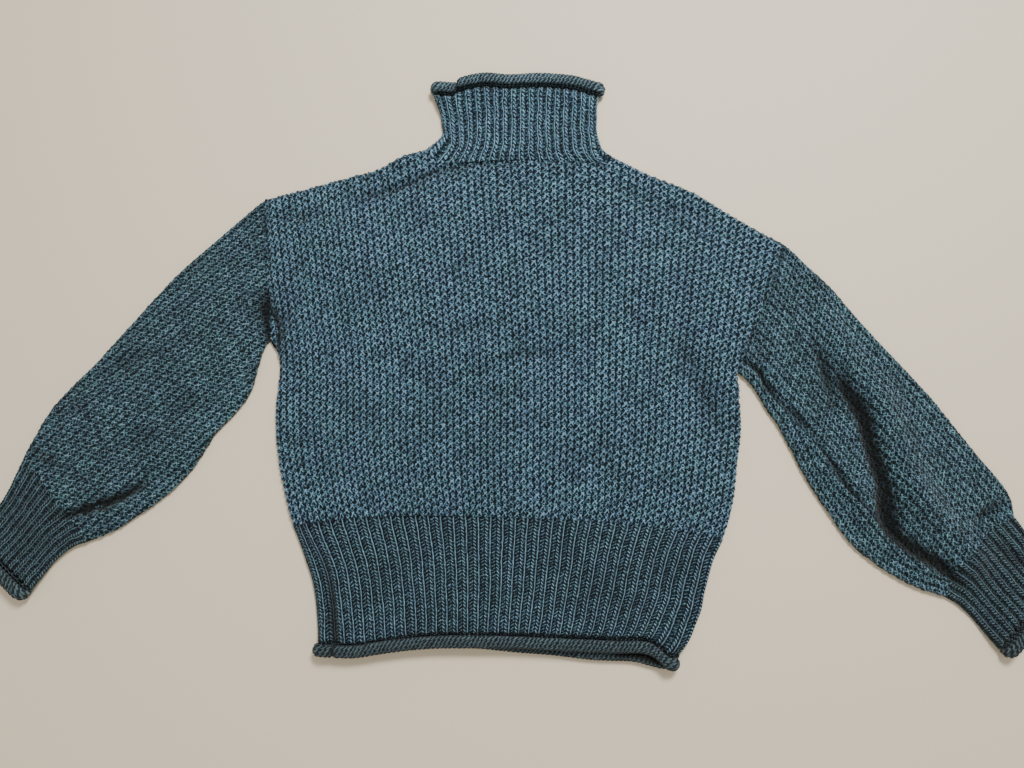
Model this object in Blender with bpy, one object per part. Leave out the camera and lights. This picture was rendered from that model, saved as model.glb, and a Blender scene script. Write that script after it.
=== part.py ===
"""Chunky knitted jumper with a stand collar, laid flat on its back with its front up.

Metres, +Z up. +X runs to the left-hand side of a wearer, +Y runs from the hem towards the collar.
The pattern is drawn about the middle of the front, with Y = 0 where the front hem starts to curl.
At the end every piece moves by one offset, so that the origin is the middle of the footprint.
"""
import math

import bmesh
import bpy
import numpy as np

# ---------------------------------------------------------------- driving sizes
WALL = 0.0040            # one layer of the chunky knit
GAP = 0.0003             # clearance where two pieces meet
AIR = 0.0010             # air between the back and the front where they lie on each other
EDGE_LEAF = 0.0008       # a panel's edge where the side seam draws it thin
ROLL_WIDE = 0.0065       # half the width of a curled edge
ROLL_HIGH = 0.0050       # half the height of a curled edge
ROLL_WALL = 0.0030       # thickness of the curled plain knit
ROLL_START = -10         # degrees round the section where the curl leaves the ribbing ...
ROLL_END = -322          # ... and where its free edge comes to rest on the ribbing's outer face
ROLL_OUTER = 8           # points round the curl's outside
ROLL_INNER = 5           # points round its inside
ROLL_SEAT = ROLL_WIDE + 0.0004       # from a curled edge's middle to the ribbing it grows from
MOUTH_RISE = 0.0025      # how far the lower layer climbs to meet a curled edge
MOUTH_DEPTH = 0.035      # length of that climb

LOWER_MID = WALL / 2                 # middle of the lower layer
UPPER_MID = 1.5 * WALL + AIR         # middle of the upper layer
SIDE_HEIGHT = 2 * WALL + AIR         # height of a folded side
SEAM_HEIGHT = SIDE_HEIGHT / 2        # height of the side seams and the shoulder seams
STACK = 2 * ROLL_HIGH + GAP          # from one curled edge up to the next one on it
TURN_RADIUS = STACK / 2              # a curled edge's bend from the lower to the upper layer

# ---------------------------------------------------------------- outline of the body
# Side folds from the ribbing's top to the underarm, then the straight armhole seam to the shoulder.
LEFT_SIDE = (            # x, y
    (-0.235, 0.113), (-0.2463, 0.145), (-0.259, 0.190), (-0.2663, 0.240),
    (-0.266, 0.285), (-0.2695, 0.306), (-0.281, 0.3245))
RIGHT_SIDE = (
    (0.2456, 0.117), (0.256, 0.150), (0.2618, 0.190), (0.2669, 0.240),
    (0.2661, 0.280), (0.265, 0.309))
LEFT_SHOULDER = (-0.304, 0.497)
RIGHT_SHOULDER = (0.3220, 0.4681)
UNDERARM_SHARE = 0.54    # share of a panel's height that lies below the underarm

# Shoulder seams, from the armhole in to the neck.
LEFT_SLOPE = (           # x, y
    (-0.304, 0.497), (-0.2504, 0.5147), (-0.1908, 0.5354), (-0.169, 0.5425), (-0.1418, 0.5616),
    (-0.114, 0.571))
RIGHT_SLOPE = (
    (0.114, 0.5715), (0.1563, 0.5513), (0.2161, 0.5285), (0.2505, 0.5066), (0.2913, 0.484),
    (0.322, 0.4681))
# The seam between the body and the collar, which dips between the shoulder seams.
NECK_LINE = (
    (-0.114, 0.571), (-0.105, 0.558), (-0.095, 0.552), (-0.059, 0.5555), (-0.011, 0.560),
    (0.037, 0.562), (0.086, 0.562), (0.105, 0.559), (0.114, 0.5715))
ARCH_POWER = 3           # a bowed row is flat in the middle and turns near its ends

# Hem ribbing: side folds, the bowed line where it starts, and the curled edges' middle lines.
RIB_BOW = 0.017
LEFT_HEM_SIDE = ((-0.1961, -0.0115), (-0.2003, 0.020), (-0.2084, 0.055), (-0.2259, 0.095), (-0.235, 0.113))
RIGHT_HEM_SIDE = (
    (0.196, -0.007), (0.2075, 0.008), (0.215, 0.025), (0.2215, 0.042), (0.225, 0.060),
    (0.2348, 0.095), (0.2456, 0.117))
FRONT_ROLL = (           # x, y
    (-0.1961, -0.0165), (-0.165, -0.0165), (-0.150, -0.0155), (-0.120, -0.0095), (-0.090, -0.005),
    (-0.060, -0.002), (-0.024, -0.0005), (0.019, 0.0005), (0.121, 0.0), (0.145, 0.001),
    (0.158, 0.0005), (0.167, -0.002), (0.176, -0.0085), (0.184, -0.015), (0.196, -0.015))
BACK_ROLL = (
    (-0.1961, -0.0165), (-0.150, -0.0155), (-0.105, -0.008), (-0.060, -0.0025), (-0.024, -0.002),
    (0.019, -0.0045), (0.060, -0.006), (0.105, -0.0092), (0.140, -0.0086), (0.152, -0.0095),
    (0.166, -0.0128), (0.176, -0.015), (0.184, -0.015), (0.196, -0.015))
HEM_EXTRA = (0.168, 0.176, 0.184)   # added columns where the front's curled edge stands off the back's one
FRONT_SEAM_X = -0.1775   # the left side seam's foot, which lies on the front
FRONT_ROLL_LEAST = WALL + MOUTH_RISE + AIR + ROLL_HIGH   # lowest the middle of the front's curl may lie

# ---------------------------------------------------------------- sleeves, cuffs and collar
# Each row is one knitted row across a flattened tube, from its upper fold (a) to its lower fold (b).
LEFT_SLEEVE = (          # ax, ay, bx, by
    (-0.304, 0.497, -0.281, 0.3245), (-0.3311, 0.469, -0.2865, 0.3155), (-0.3599, 0.4389, -0.2912, 0.295),
    (-0.3921, 0.405, -0.297, 0.263), (-0.4223, 0.366, -0.3125, 0.237), (-0.4488, 0.3294, -0.333, 0.211),
    (-0.4765, 0.2914, -0.3514, 0.1757), (-0.5007, 0.2619, -0.3718, 0.149), (-0.5232, 0.2306, -0.3973, 0.1257),
    (-0.5365, 0.200, -0.4313, 0.1007), (-0.5456, 0.1782, -0.459, 0.087))
RIGHT_SLEEVE = (
    (0.322, 0.4681, 0.265, 0.309), (0.3471, 0.4436, 0.2758, 0.2988), (0.3747, 0.4171, 0.287, 0.2843),
    (0.4009, 0.386, 0.2966, 0.2677), (0.4272, 0.3559, 0.3096, 0.2486), (0.4573, 0.3231, 0.3246, 0.2206),
    (0.4874, 0.289, 0.3416, 0.1876), (0.5129, 0.2558, 0.364, 0.1532), (0.5369, 0.2248, 0.3896, 0.1183),
    (0.5584, 0.1987, 0.4215, 0.094), (0.5712, 0.178, 0.4565, 0.0755), (0.5746, 0.1557, 0.491, 0.066))
LEFT_CUFF = (
    (-0.5456, 0.1782, -0.459, 0.087), (-0.553, 0.152, -0.476, 0.080), (-0.561, 0.130, -0.493, 0.0644),
    (-0.5735, 0.110, -0.505, 0.0464), (-0.587, 0.092, -0.5135, 0.0314))
RIGHT_CUFF = (
    (0.5746, 0.1557, 0.491, 0.066), (0.5842, 0.1418, 0.507, 0.057), (0.596, 0.124, 0.522, 0.043),
    (0.607, 0.107, 0.5345, 0.027), (0.616, 0.091, 0.546, 0.013))
COLLAR = (
    (-0.114, 0.571, 0.114, 0.5715), (-0.1042, 0.580, 0.1016, 0.580), (-0.095, 0.592, 0.0966, 0.592),
    (-0.0968, 0.606, 0.0933, 0.606), (-0.0992, 0.619, 0.0934, 0.619), (-0.1048, 0.632, 0.0928, 0.634),
    (-0.1085, 0.6415, 0.0942, 0.6485))
# The upper edge of the collar's ribbing, where the curled edge begins.
COLLAR_TOP = (
    (-0.1085, 0.6415), (-0.090, 0.6415), (-0.070, 0.650), (-0.046, 0.6555), (-0.017, 0.6545),
    (0.021, 0.658), (0.058, 0.657), (0.077, 0.653), (0.0942, 0.6485))
COLLAR_OVERLAP = -0.080  # x of the seam where the two ends of the collar's curled edge meet
RIGHT_CUFF_BOW = 0.013   # how far the right cuff's first row bends towards the body
CUFF_FLARE = 0.002       # how far a cuff's curled edge stands out past its folds
SEAM_BULGE = 0.004       # how far a curled edge stands out past the fold beside its seam
COLLAR_BULGE = 0.008     # the same at the collar's right end

# ---------------------------------------------------------------- folds of the upper layer
# Soft ridges (height above 0) and troughs (below 0), straight, fading out at both ends.
LEFT_FOLDS = (           # x0, y0, x1, y1, half_width, height
    (-0.360, 0.400, -0.330, 0.330, 0.030, 0.0020), (-0.430, 0.330, -0.340, 0.240, 0.045, 0.0025),
    (-0.475, 0.240, -0.400, 0.170, 0.038, 0.0025), (-0.500, 0.130, -0.410, 0.170, 0.012, -0.0015))
RIGHT_FOLDS = (
    (0.372, 0.370, 0.425, 0.270, 0.020, 0.0050), (0.425, 0.285, 0.465, 0.170, 0.022, 0.0095),
    (0.455, 0.185, 0.520, 0.110, 0.020, 0.0105), (0.330, 0.265, 0.400, 0.160, 0.020, 0.0045),
    (0.400, 0.165, 0.470, 0.095, 0.018, 0.0050))
BODY_FOLDS = (
    (0.170, 0.420, 0.120, 0.250, 0.060, 0.0025), (-0.120, 0.430, -0.090, 0.230, 0.080, 0.0025),
    (0.213, 0.375, 0.224, 0.300, 0.014, -0.0015), (-0.235, 0.470, -0.180, 0.400, 0.040, 0.0015))
FOLD_MARGIN = 0.030      # over this width the folds fade out towards a piece's edge

# ---------------------------------------------------------------- mesh resolution
SIDE_COLUMNS = 5         # columns of a panel from each side to the neck corner
BODY_ROWS = 9
HEM_ROWS = 4
COLLAR_POINTS = 9        # points across the collar's upper layer, and between the body's neck corners
SLEEVE_POINTS = 11       # points across a sleeve's upper layer
TUBE_LOWER = 5           # points across a tube's lower layer
TUBE_FOLD = 2            # corners of a side fold
SLEEVE_STEPS = 13        # rows along a sleeve
SAMPLES = 12             # points per stretch of a smooth curve

# ---------------------------------------------------------------- materials: colour, roughness, metallic
MOSS_KNIT = ((0.052, 0.098, 0.125, 1.0), 0.92, 0.0)
RIB_KNIT = ((0.046, 0.088, 0.114, 1.0), 0.92, 0.0)
ROLL_KNIT = ((0.040, 0.076, 0.100, 1.0), 0.92, 0.0)


# ================================================================ curves
def smooth(t):
    """Ease from 0 to 1."""
    t = np.clip(t, 0.0, 1.0)
    return t * t * (3.0 - 2.0 * t)


def smooth_curve(points):
    """A Catmull-Rom curve through the points, as many close points."""
    p = np.array(points, float)
    p = np.vstack([2 * p[0] - p[1], p, 2 * p[-1] - p[-2]])
    t = np.arange(SAMPLES)[:, None] / SAMPLES
    stretches = []
    for p0, p1, p2, p3 in zip(p[:-3], p[1:-2], p[2:-1], p[3:]):
        stretches.append(p1 + 0.5 * t * (p2 - p0) + 0.5 * t**2 * (2 * p0 - 5 * p1 + 4 * p2 - p3)
                         + 0.5 * t**3 * (3 * p1 - 3 * p2 + p3 - p0))
    return np.vstack(stretches + [p[-2:-1]])


def at_share(line, share):
    """The points that lie at these shares of a line's length."""
    steps = np.linalg.norm(np.diff(line, axis=0), axis=1)
    length = np.concatenate([[0.0], np.cumsum(steps)])
    where = np.asarray(share) * length[-1]
    return np.stack([np.interp(where, length, line[:, k]) for k in range(line.shape[1])], axis=-1)


def by_x(table, x):
    """Heights of a smooth line over x, from a table of x and y."""
    line = smooth_curve(table)
    return np.interp(x, line[:, 0], line[:, 1])


def arch(t):
    """0 at both ends of a row, 1 in its middle."""
    return 1 - np.abs(2 * np.clip(t, 0, 1) - 1) ** ARCH_POWER


def column_line(table, x):
    """A line over the collar's width, straight from column to column of the knitting's grid."""
    first, last = table[0][0], table[-1][0]
    inset = SIDE_HEIGHT / 2
    columns = np.concatenate([[first], np.linspace(first + inset, last - inset, COLLAR_POINTS), [last]])
    return np.interp(x, columns, by_x(table, columns))


def distance_to(line, x, y):
    """Distance in plan from points to a line of straight pieces."""
    nearest = np.full(x.shape, np.inf)
    for (ax, ay), (bx, by) in zip(line[:-1], line[1:]):
        dx, dy = bx - ax, by - ay
        t = np.clip(((x - ax) * dx + (y - ay) * dy) / max(dx * dx + dy * dy, 1e-12), 0.0, 1.0)
        nearest = np.minimum(nearest, np.hypot(x - ax - t * dx, y - ay - t * dy))
    return nearest


def fold_height(folds, x, y):
    """Sum of the soft ridges and troughs at points in plan."""
    height = np.zeros(np.shape(x))
    for x0, y0, x1, y1, half_width, rise in folds:
        length = math.hypot(x1 - x0, y1 - y0)
        along = ((x - x0) * (x1 - x0) + (y - y0) * (y1 - y0)) / length
        across = ((x - x0) * (y1 - y0) - (y - y0) * (x1 - x0)) / length
        beyond = np.maximum(np.abs(along - length / 2) - length / 2, 0.0)
        height += rise * np.exp(-(across / half_width) ** 2 - (beyond / half_width) ** 2)
    return height


# ================================================================ meshes
def add_material(obj, finish):
    colour, roughness, metallic = finish
    material = bpy.data.materials.new(obj.name)
    material.use_nodes = True
    shader = material.node_tree.nodes["Principled BSDF"]
    shader.inputs["Base Color"].default_value = colour
    shader.inputs["Roughness"].default_value = roughness
    shader.inputs["Metallic"].default_value = metallic
    obj.data.materials.append(material)


def add_piece(name, points, faces, finish):
    """One named closed mesh with its faces pointing out."""
    mesh = bpy.data.meshes.new(name)
    mesh.from_pydata([tuple(p) for p in points], [], faces)
    work = bmesh.new()
    work.from_mesh(mesh)
    bmesh.ops.recalc_face_normals(work, faces=work.faces)
    work.to_mesh(mesh)
    work.free()
    mesh.shade_smooth()
    mesh.set_sharp_from_angle(angle=math.radians(50))
    obj = bpy.data.objects.new(name, mesh)
    bpy.context.collection.objects.link(obj)
    add_material(obj, finish)
    return obj


def add_wall(name, outer, inner, closed, finish):
    """A wall between two grids of points; closed joins the last column to the first one."""
    rows, columns = outer.shape[:2]
    grid = np.arange(2 * rows * columns).reshape(2, rows, columns)
    last = columns if closed else columns - 1
    faces = []
    for i in range(rows - 1):
        for j in range(last):
            k = (j + 1) % columns
            faces.append([grid[0, i, j], grid[0, i, k], grid[0, i + 1, k], grid[0, i + 1, j]])
            faces.append([grid[1, i, j], grid[1, i + 1, j], grid[1, i + 1, k], grid[1, i, k]])
    for i in (0, rows - 1):
        for j in range(last):
            k = (j + 1) % columns
            faces.append([grid[0, i, j], grid[0, i, k], grid[1, i, k], grid[1, i, j]])
    if not closed:
        for j in (0, columns - 1):
            for i in range(rows - 1):
                faces.append([grid[0, i, j], grid[0, i + 1, j], grid[1, i + 1, j], grid[1, i, j]])
    points = np.concatenate([outer.reshape(-1, 3), inner.reshape(-1, 3)])
    return add_piece(name, points, [[int(v) for v in face] for face in faces], finish)


# ================================================================ body and hem panels
def panel_columns(width):
    """Shares across a panel, close together where its sides round off, with one at each neck corner."""
    edge = np.array([0.0, 0.12, 0.40, 1.0]) * SIDE_HEIGHT / 2 / width
    span = RIGHT_SHOULDER[0] - LEFT_SHOULDER[0]
    neck_left = (LEFT_SLOPE[-1][0] - LEFT_SHOULDER[0]) / span
    neck_right = (RIGHT_SLOPE[0][0] - LEFT_SHOULDER[0]) / span
    inset = SIDE_HEIGHT / 2 / span
    neck = np.linspace(neck_left + inset, neck_right - inset, COLLAR_POINTS)
    return np.concatenate([edge, np.linspace(edge[-1], neck_left, SIDE_COLUMNS)[1:], neck,
                           np.linspace(neck_right, 1 - edge[-1], SIDE_COLUMNS)[:-1], 1 - edge[::-1]])


def patch(bottom, top, left, right, u, v):
    """A Coons patch between four boundary lines, given as points at the shares u and v."""
    uu, vv = np.meshgrid(u, v)
    uu, vv = uu[..., None], vv[..., None]
    ruled = (1 - vv) * bottom[None] + vv * top[None] + (1 - uu) * left[:, None] + uu * right[:, None]
    corners = ((1 - uu) * (1 - vv) * bottom[0] + uu * (1 - vv) * bottom[-1]
               + (1 - uu) * vv * top[0] + uu * vv * top[-1])
    return ruled - corners


def rib_start(u, offset):
    """The bowed line between the body's moss stitch and the hem's ribbing."""
    left, right = np.array(LEFT_SIDE[0]), np.array(RIGHT_SIDE[0])
    line = left + u[:, None] * (right - left)
    line[:, 1] += RIB_BOW * arch(u) + offset
    return line


def body_side(side, shoulder, v, inward):
    """A body panel's boundary: up the side fold, then up the armhole seam, moved in by the clearance."""
    low = at_share(smooth_curve(side), np.clip(v / UNDERARM_SHARE, 0, 1))
    high = np.array(side[-1]) + (np.array(shoulder) - side[-1]) * np.clip(
        (v - UNDERARM_SHARE) / (1 - UNDERARM_SHARE), 0, 1)[:, None]
    line = np.where((v <= UNDERARM_SHARE)[:, None], low, high)
    line[:, 0] += inward * smooth((v - UNDERARM_SHARE + 0.10) / 0.10)
    return line


def body_plan():
    """Points in plan of the body panels, row by row from the ribbing to the shoulders."""
    u = panel_columns(RIGHT_SIDE[3][0] - LEFT_SIDE[3][0])
    edge = SIDE_HEIGHT / 2 / 0.40 * np.array([1.0, 0.35, 0.10, 0.0])
    below = np.linspace(0, UNDERARM_SHARE, BODY_ROWS // 2 + 1)
    above = np.linspace(UNDERARM_SHARE, 1 - edge[0], BODY_ROWS // 2 + 1)[1:-1]
    v = np.concatenate([below, above, 1 - edge])
    x = LEFT_SHOULDER[0] + u * (RIGHT_SHOULDER[0] - LEFT_SHOULDER[0])
    slopes = np.array(LEFT_SLOPE + RIGHT_SLOPE)
    y = np.interp(x, slopes[:, 0], slopes[:, 1])
    in_neck = (x > LEFT_SLOPE[-1][0]) & (x < RIGHT_SLOPE[0][0])
    steep = np.hypot(1, np.gradient(column_line(NECK_LINE, x), x)) - 1
    y = np.where(in_neck, column_line(NECK_LINE, x) - GAP * steep, y) - GAP
    top = np.stack([x, y], axis=1)
    bottom = rib_start(u, GAP / 2)
    left = body_side(LEFT_SIDE, LEFT_SHOULDER, v, GAP)
    right = body_side(RIGHT_SIDE, RIGHT_SHOULDER, v, -GAP)
    top[0], top[-1], left[0], right[0] = left[-1], right[-1], bottom[0], bottom[-1]
    return patch(bottom, top, left, right, u, v)


def roundness(plan, edges):
    """0 on a rounded edge, rising as a quarter circle to 1 where the panel is full."""
    near = np.full(plan.shape[:2], np.inf)
    for line in edges:
        near = np.minimum(near, distance_to(line, plan[..., 0], plan[..., 1]))
    t = np.clip(near / (SIDE_HEIGHT / 2), 0.0, 1.0)
    return np.sqrt(1 - (1 - t) ** 2)


def front_layer(plan, full, lift):
    """Upper and lower faces of a front panel; lift raises both."""
    seam = SEAM_HEIGHT + GAP / 2
    upper = seam + EDGE_LEAF + (UPPER_MID + WALL / 2 + lift - seam - EDGE_LEAF) * full
    lower = seam + (UPPER_MID - WALL / 2 + lift - seam) * full
    return np.dstack([plan, upper]), np.dstack([plan, lower])


def back_layer(plan, full, lift):
    """Lower and upper faces of a back panel, flat underneath where lift is 0."""
    seam = SEAM_HEIGHT - GAP / 2
    lower = (seam - EDGE_LEAF) * (1 - full) + lift * full
    upper = seam + (WALL + lift - seam) * full
    return np.dstack([plan, lower]), np.dstack([plan, upper])


def make_body():
    plan = body_plan()
    x, y = plan[..., 0], plan[..., 1]
    folded = (smooth_curve(LEFT_SIDE), smooth_curve(RIGHT_SIDE), LEFT_SLOPE, RIGHT_SLOPE)
    full = roundness(plan, folded)
    rim = np.vstack([plan[0], plan[:, -1], plan[-1, ::-1], plan[::-1, 0]])
    fade = smooth(distance_to(rim, x, y) / FOLD_MARGIN)
    lift = np.maximum(fold_height(BODY_FOLDS, x, y) * fade, GAP - AIR)
    add_wall("front_body", *front_layer(plan, full, lift), False, MOSS_KNIT)
    add_wall("back_body", *back_layer(plan, full, np.zeros_like(x)), False, MOSS_KNIT)


def hem_x():
    """The shares of the hem's columns, and where they end on its curled edges."""
    u = panel_columns(RIGHT_HEM_SIDE[2][0] - LEFT_HEM_SIDE[2][0])
    left, right = LEFT_HEM_SIDE[0][0], RIGHT_HEM_SIDE[0][0]
    u = np.sort(np.concatenate([u, (np.array(HEM_EXTRA) - left) / (right - left)]))
    return u, left + u * (right - left)


def roll_line(table, x):
    """Middle line of a curled edge of the hem, straight from column to column."""
    columns = hem_x()[1]
    return np.interp(x, columns, by_x(table, columns))


def front_roll_height(x):
    """Middle height of the front's curled edge, which lies on the back's one where they meet."""
    apart = (roll_line(FRONT_ROLL, x) - roll_line(BACK_ROLL, x)) / (2 * ROLL_WIDE + GAP)
    stacked = ROLL_HIGH + STACK * np.sqrt(np.clip(1 - 0.5 * apart**2, 0, 1))
    return np.maximum(stacked, FRONT_ROLL_LEAST)


def hem_plan(roll, v):
    """Points in plan of a hem panel, from its curled edge up to the moss stitch."""
    u, x = hem_x()
    left = at_share(smooth_curve(LEFT_HEM_SIDE), v)
    right = at_share(smooth_curve(RIGHT_HEM_SIDE), v)
    bottom = np.stack([x, roll_line(roll, x) + ROLL_SEAT], axis=1)
    body_u = panel_columns(RIGHT_SIDE[3][0] - LEFT_SIDE[3][0])
    meeting = rib_start(body_u, -GAP / 2)
    top = np.stack([np.interp(u, body_u, meeting[:, k]) for k in (0, 1)], axis=1)
    left[0], right[0], left[-1], right[-1] = bottom[0], bottom[-1], top[0], top[-1]
    return patch(bottom, top, left, right, u, v)


def make_hem():
    v = np.linspace(0, 1, HEM_ROWS) ** 1.3
    climb = smooth(1 - v * RIGHT_HEM_SIDE[-1][1] / MOUTH_DEPTH)[:, None]
    sides = (smooth_curve(LEFT_HEM_SIDE), smooth_curve(RIGHT_HEM_SIDE))

    plan = hem_plan(FRONT_ROLL, v)
    end = front_roll_height(plan[0, :, 0]) - ROLL_HIGH + WALL / 2
    front_lift = climb * (end - UPPER_MID)[None]
    add_wall("front_hem_rib", *front_layer(plan, roundness(plan, sides), front_lift), False, RIB_KNIT)

    plan = hem_plan(BACK_ROLL, v)
    back_lift = climb * np.full(plan.shape[1], MOUTH_RISE)[None]
    add_wall("back_hem_rib", *back_layer(plan, roundness(plan, sides), back_lift), False, RIB_KNIT)


# ================================================================ flattened tubes
def tube_rows(table, count):
    """A tube's rows, spread evenly along it, as upper-fold and lower-fold points."""
    rows = at_share(smooth_curve(table), np.linspace(0, 1, count))
    return rows[:, :2], rows[:, 2:]


def no_bow(share):
    return np.zeros_like(share)


def arch_bow(height):
    """A row that bends by height between its folds."""
    def bow(share):
        return height * arch(share)
    return bow


def line_bow(table):
    """A row that follows a line from its first to its last point."""
    (x0, y0), (x1, y1) = table[0], table[-1]

    def bow(share):
        return column_line(table, x0 + share * (x1 - x0)) - (y0 + share * (y1 - y0))
    return bow


def tube_ring(a, b, bow, points, below, upper_lift, lower_lift, folds, fold_share):
    """Outer and inner points round a flattened tube between its folds a and b."""
    width = np.linalg.norm(b - a)
    across = (b - a) / width
    onward = np.array([-across[1], across[0]])
    low, high = LOWER_MID + lower_lift, UPPER_MID + upper_lift
    radius = (high - low) / 2
    inset = SIDE_HEIGHT / 2
    fold_wide = inset - WALL / 2

    turn = np.linspace(0, math.pi, TUBE_FOLD + 2)[1:-1]
    upper = np.linspace(inset, width - inset, points)
    lower = np.linspace(width - inset, inset, below)
    level, side, up = np.zeros_like, np.sin(turn), np.cos(turn)
    s = np.concatenate([upper, width - inset + fold_wide * side, lower, inset - fold_wide * side])
    z = np.concatenate([level(upper) + high, low + radius * (1 + up),
                        level(lower) + low, low + radius * (1 - up)])
    normal_s = np.concatenate([level(upper), side, level(lower), -side])
    normal_z = np.concatenate([level(upper) + 1, up, level(lower) - 1, -up])

    if fold_share > 0 and folds:
        plan = a + upper[:, None] * across + bow(upper / width)[:, None] * onward
        edge_fade = smooth(np.minimum(upper, width - upper) / FOLD_MARGIN)
        puff = fold_height(folds, plan[:, 0], plan[:, 1]) * edge_fade * fold_share
        z[:points] += np.maximum(puff, GAP - AIR)
    layers = []
    for depth in (WALL / 2, -WALL / 2):
        where = s + depth * normal_s
        plan = a + where[:, None] * across + bow(where / width)[:, None] * onward
        layers.append(np.column_stack([plan, z + depth * normal_z]))
    return layers


def make_tube(name, table, steps, points, finish, folds=(), start_fade=0.0, end_fade=0.0,
              bows=(no_bow, no_bow), mouth=0.0, start_gap=0.0,
              below=TUBE_LOWER):
    """A flattened tube with points across its upper layer and below across its lower one; mouth is how
    far the upper one climbs to a curled edge at its end."""
    a, b = tube_rows(table, steps)
    middle = (a + b) / 2
    along = np.concatenate([[0.0], np.cumsum(np.linalg.norm(np.diff(middle, axis=0), axis=1))])
    length = along[-1]
    if start_gap:
        across = b[0] - a[0]
        normal = np.array([-across[1], across[0]]) / np.linalg.norm(across)
        normal *= math.copysign(start_gap, np.dot(normal, middle[1] - middle[0]))
        a[0] += normal
        b[0] += normal
    outer, inner = [], []
    for i in range(steps):
        t = along[i] / length
        climb = float(smooth(1 - (length - along[i]) / MOUTH_DEPTH)) if mouth else 0.0
        fold_share = 1.0
        if start_fade:
            fold_share *= float(smooth(along[i] / start_fade))
        if end_fade:
            fold_share *= float(smooth((length - along[i]) / end_fade))

        def bow(share):
            return (1 - t) * bows[0](share) + t * bows[1](share)

        ring = tube_ring(a[i], b[i], bow, points, below, climb * mouth, climb * MOUTH_RISE, folds, fold_share)
        outer.append(ring[0])
        inner.append(ring[1])
    return add_wall(name, np.array(outer), np.array(inner), True, finish)


# ================================================================ curled edges
def curl_section():
    """Section of a curled edge: distances towards the ribbing, and towards the cloth's outer side."""
    outer = np.radians(np.linspace(ROLL_START, ROLL_END, ROLL_OUTER))
    inner = np.radians(np.linspace(ROLL_END, ROLL_START, ROLL_INNER))
    reach = 1 / math.cos((outer[0] - outer[1]) / 2)
    wide = np.clip(ROLL_WIDE * reach * np.cos(outer), -ROLL_WIDE, ROLL_WIDE)
    high = np.clip(ROLL_HIGH * reach * np.sin(outer), -ROLL_HIGH, ROLL_HIGH)
    wide = np.concatenate([wide, (ROLL_WIDE - ROLL_WALL) * np.cos(inner)])
    high = np.concatenate([high, (ROLL_HIGH - ROLL_WALL) * np.sin(inner)])
    return wide, high


def make_roll(name, path, to_rib, hand, closed):
    """An edge of plain knit curled up on the cloth's outer side; hand is 1 or -1 and picks that side."""
    path = np.array(path, float)
    to_rib = np.array(to_rib, float)
    count = len(path)
    wide, high = curl_section()
    sides = len(wide)
    rings = []
    for i in range(count):
        ahead = path[(i + 1) % count] if closed or i + 1 < count else path[i]
        behind = path[i - 1] if closed or i > 0 else path[i]
        tangent = ahead - behind
        tangent = tangent - to_rib * np.dot(tangent, to_rib)
        outward = hand * np.cross(tangent / np.linalg.norm(tangent), to_rib)
        rings.append(path[i] + wide[:, None] * to_rib + high[:, None] * outward)
    rings = np.array(rings)
    grid = np.arange(count * sides).reshape(count, sides)
    faces = []
    for i in range(count if closed else count - 1):
        n = (i + 1) % count
        for j in range(sides):
            k = (j + 1) % sides
            faces.append([grid[i, j], grid[i, k], grid[n, k], grid[n, j]])
    if not closed:
        faces.append(list(grid[0]))
        faces.append(list(grid[-1]))
    return add_piece(name, rings.reshape(-1, 3), [[int(v) for v in face] for face in faces], ROLL_KNIT)


def bend(centre, outward, first, last, steps):
    """Points of a curled edge's bend between the layers, round a level axis through centre."""
    angle = np.linspace(first, last, steps)
    out = np.array([outward[0], outward[1], 0.0])
    return [np.array(centre) + TURN_RADIUS * (math.cos(t) * out + np.array([0.0, 0.0, math.sin(t)]))
            for t in angle]


def between(first, last, least):
    """The hem's columns from one x to another, ends included, and no closer together than least."""
    inner = [x for x in hem_x()[1] if min(first, last) + least < x < max(first, last) - least]
    line = [first] + (inner if last > first else inner[::-1]) + [last]
    return np.array(line)


def make_hem_rolls():
    """The front's curl bends under at the right; the back's bends over at the left, up to the seam."""
    upper = ROLL_HIGH + STACK
    reach = TURN_RADIUS + ROLL_HIGH
    right_x = FRONT_ROLL[-1][0] - reach
    left_x = BACK_ROLL[0][0] - SEAM_BULGE + reach
    x = between(FRONT_SEAM_X, right_x, 0.001)
    right_y = roll_line(FRONT_ROLL, x)[-1]
    front = list(zip(x, roll_line(FRONT_ROLL, x), front_roll_height(x)))[:-1]
    front += bend((right_x, right_y, ROLL_HIGH + TURN_RADIUS), (1, 0), math.pi / 2, -math.pi / 2, 6)
    make_roll("front_hem_roll", front, (0, 1, 0), 1, False)

    x = between(right_x - SEAM_BULGE / 2, left_x, 0.001)
    left_y = roll_line(BACK_ROLL, x)[-1]
    back = [(px, py, ROLL_HIGH) for px, py in zip(x, roll_line(BACK_ROLL, x))][:-1]
    back += bend((left_x, left_y, ROLL_HIGH + TURN_RADIUS), (-1, 0), -math.pi / 2, math.pi / 2, 6)
    back += [(FRONT_SEAM_X - GAP, left_y, upper)]
    make_roll("back_hem_roll", back, (0, 1, 0), 1, False)


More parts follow.
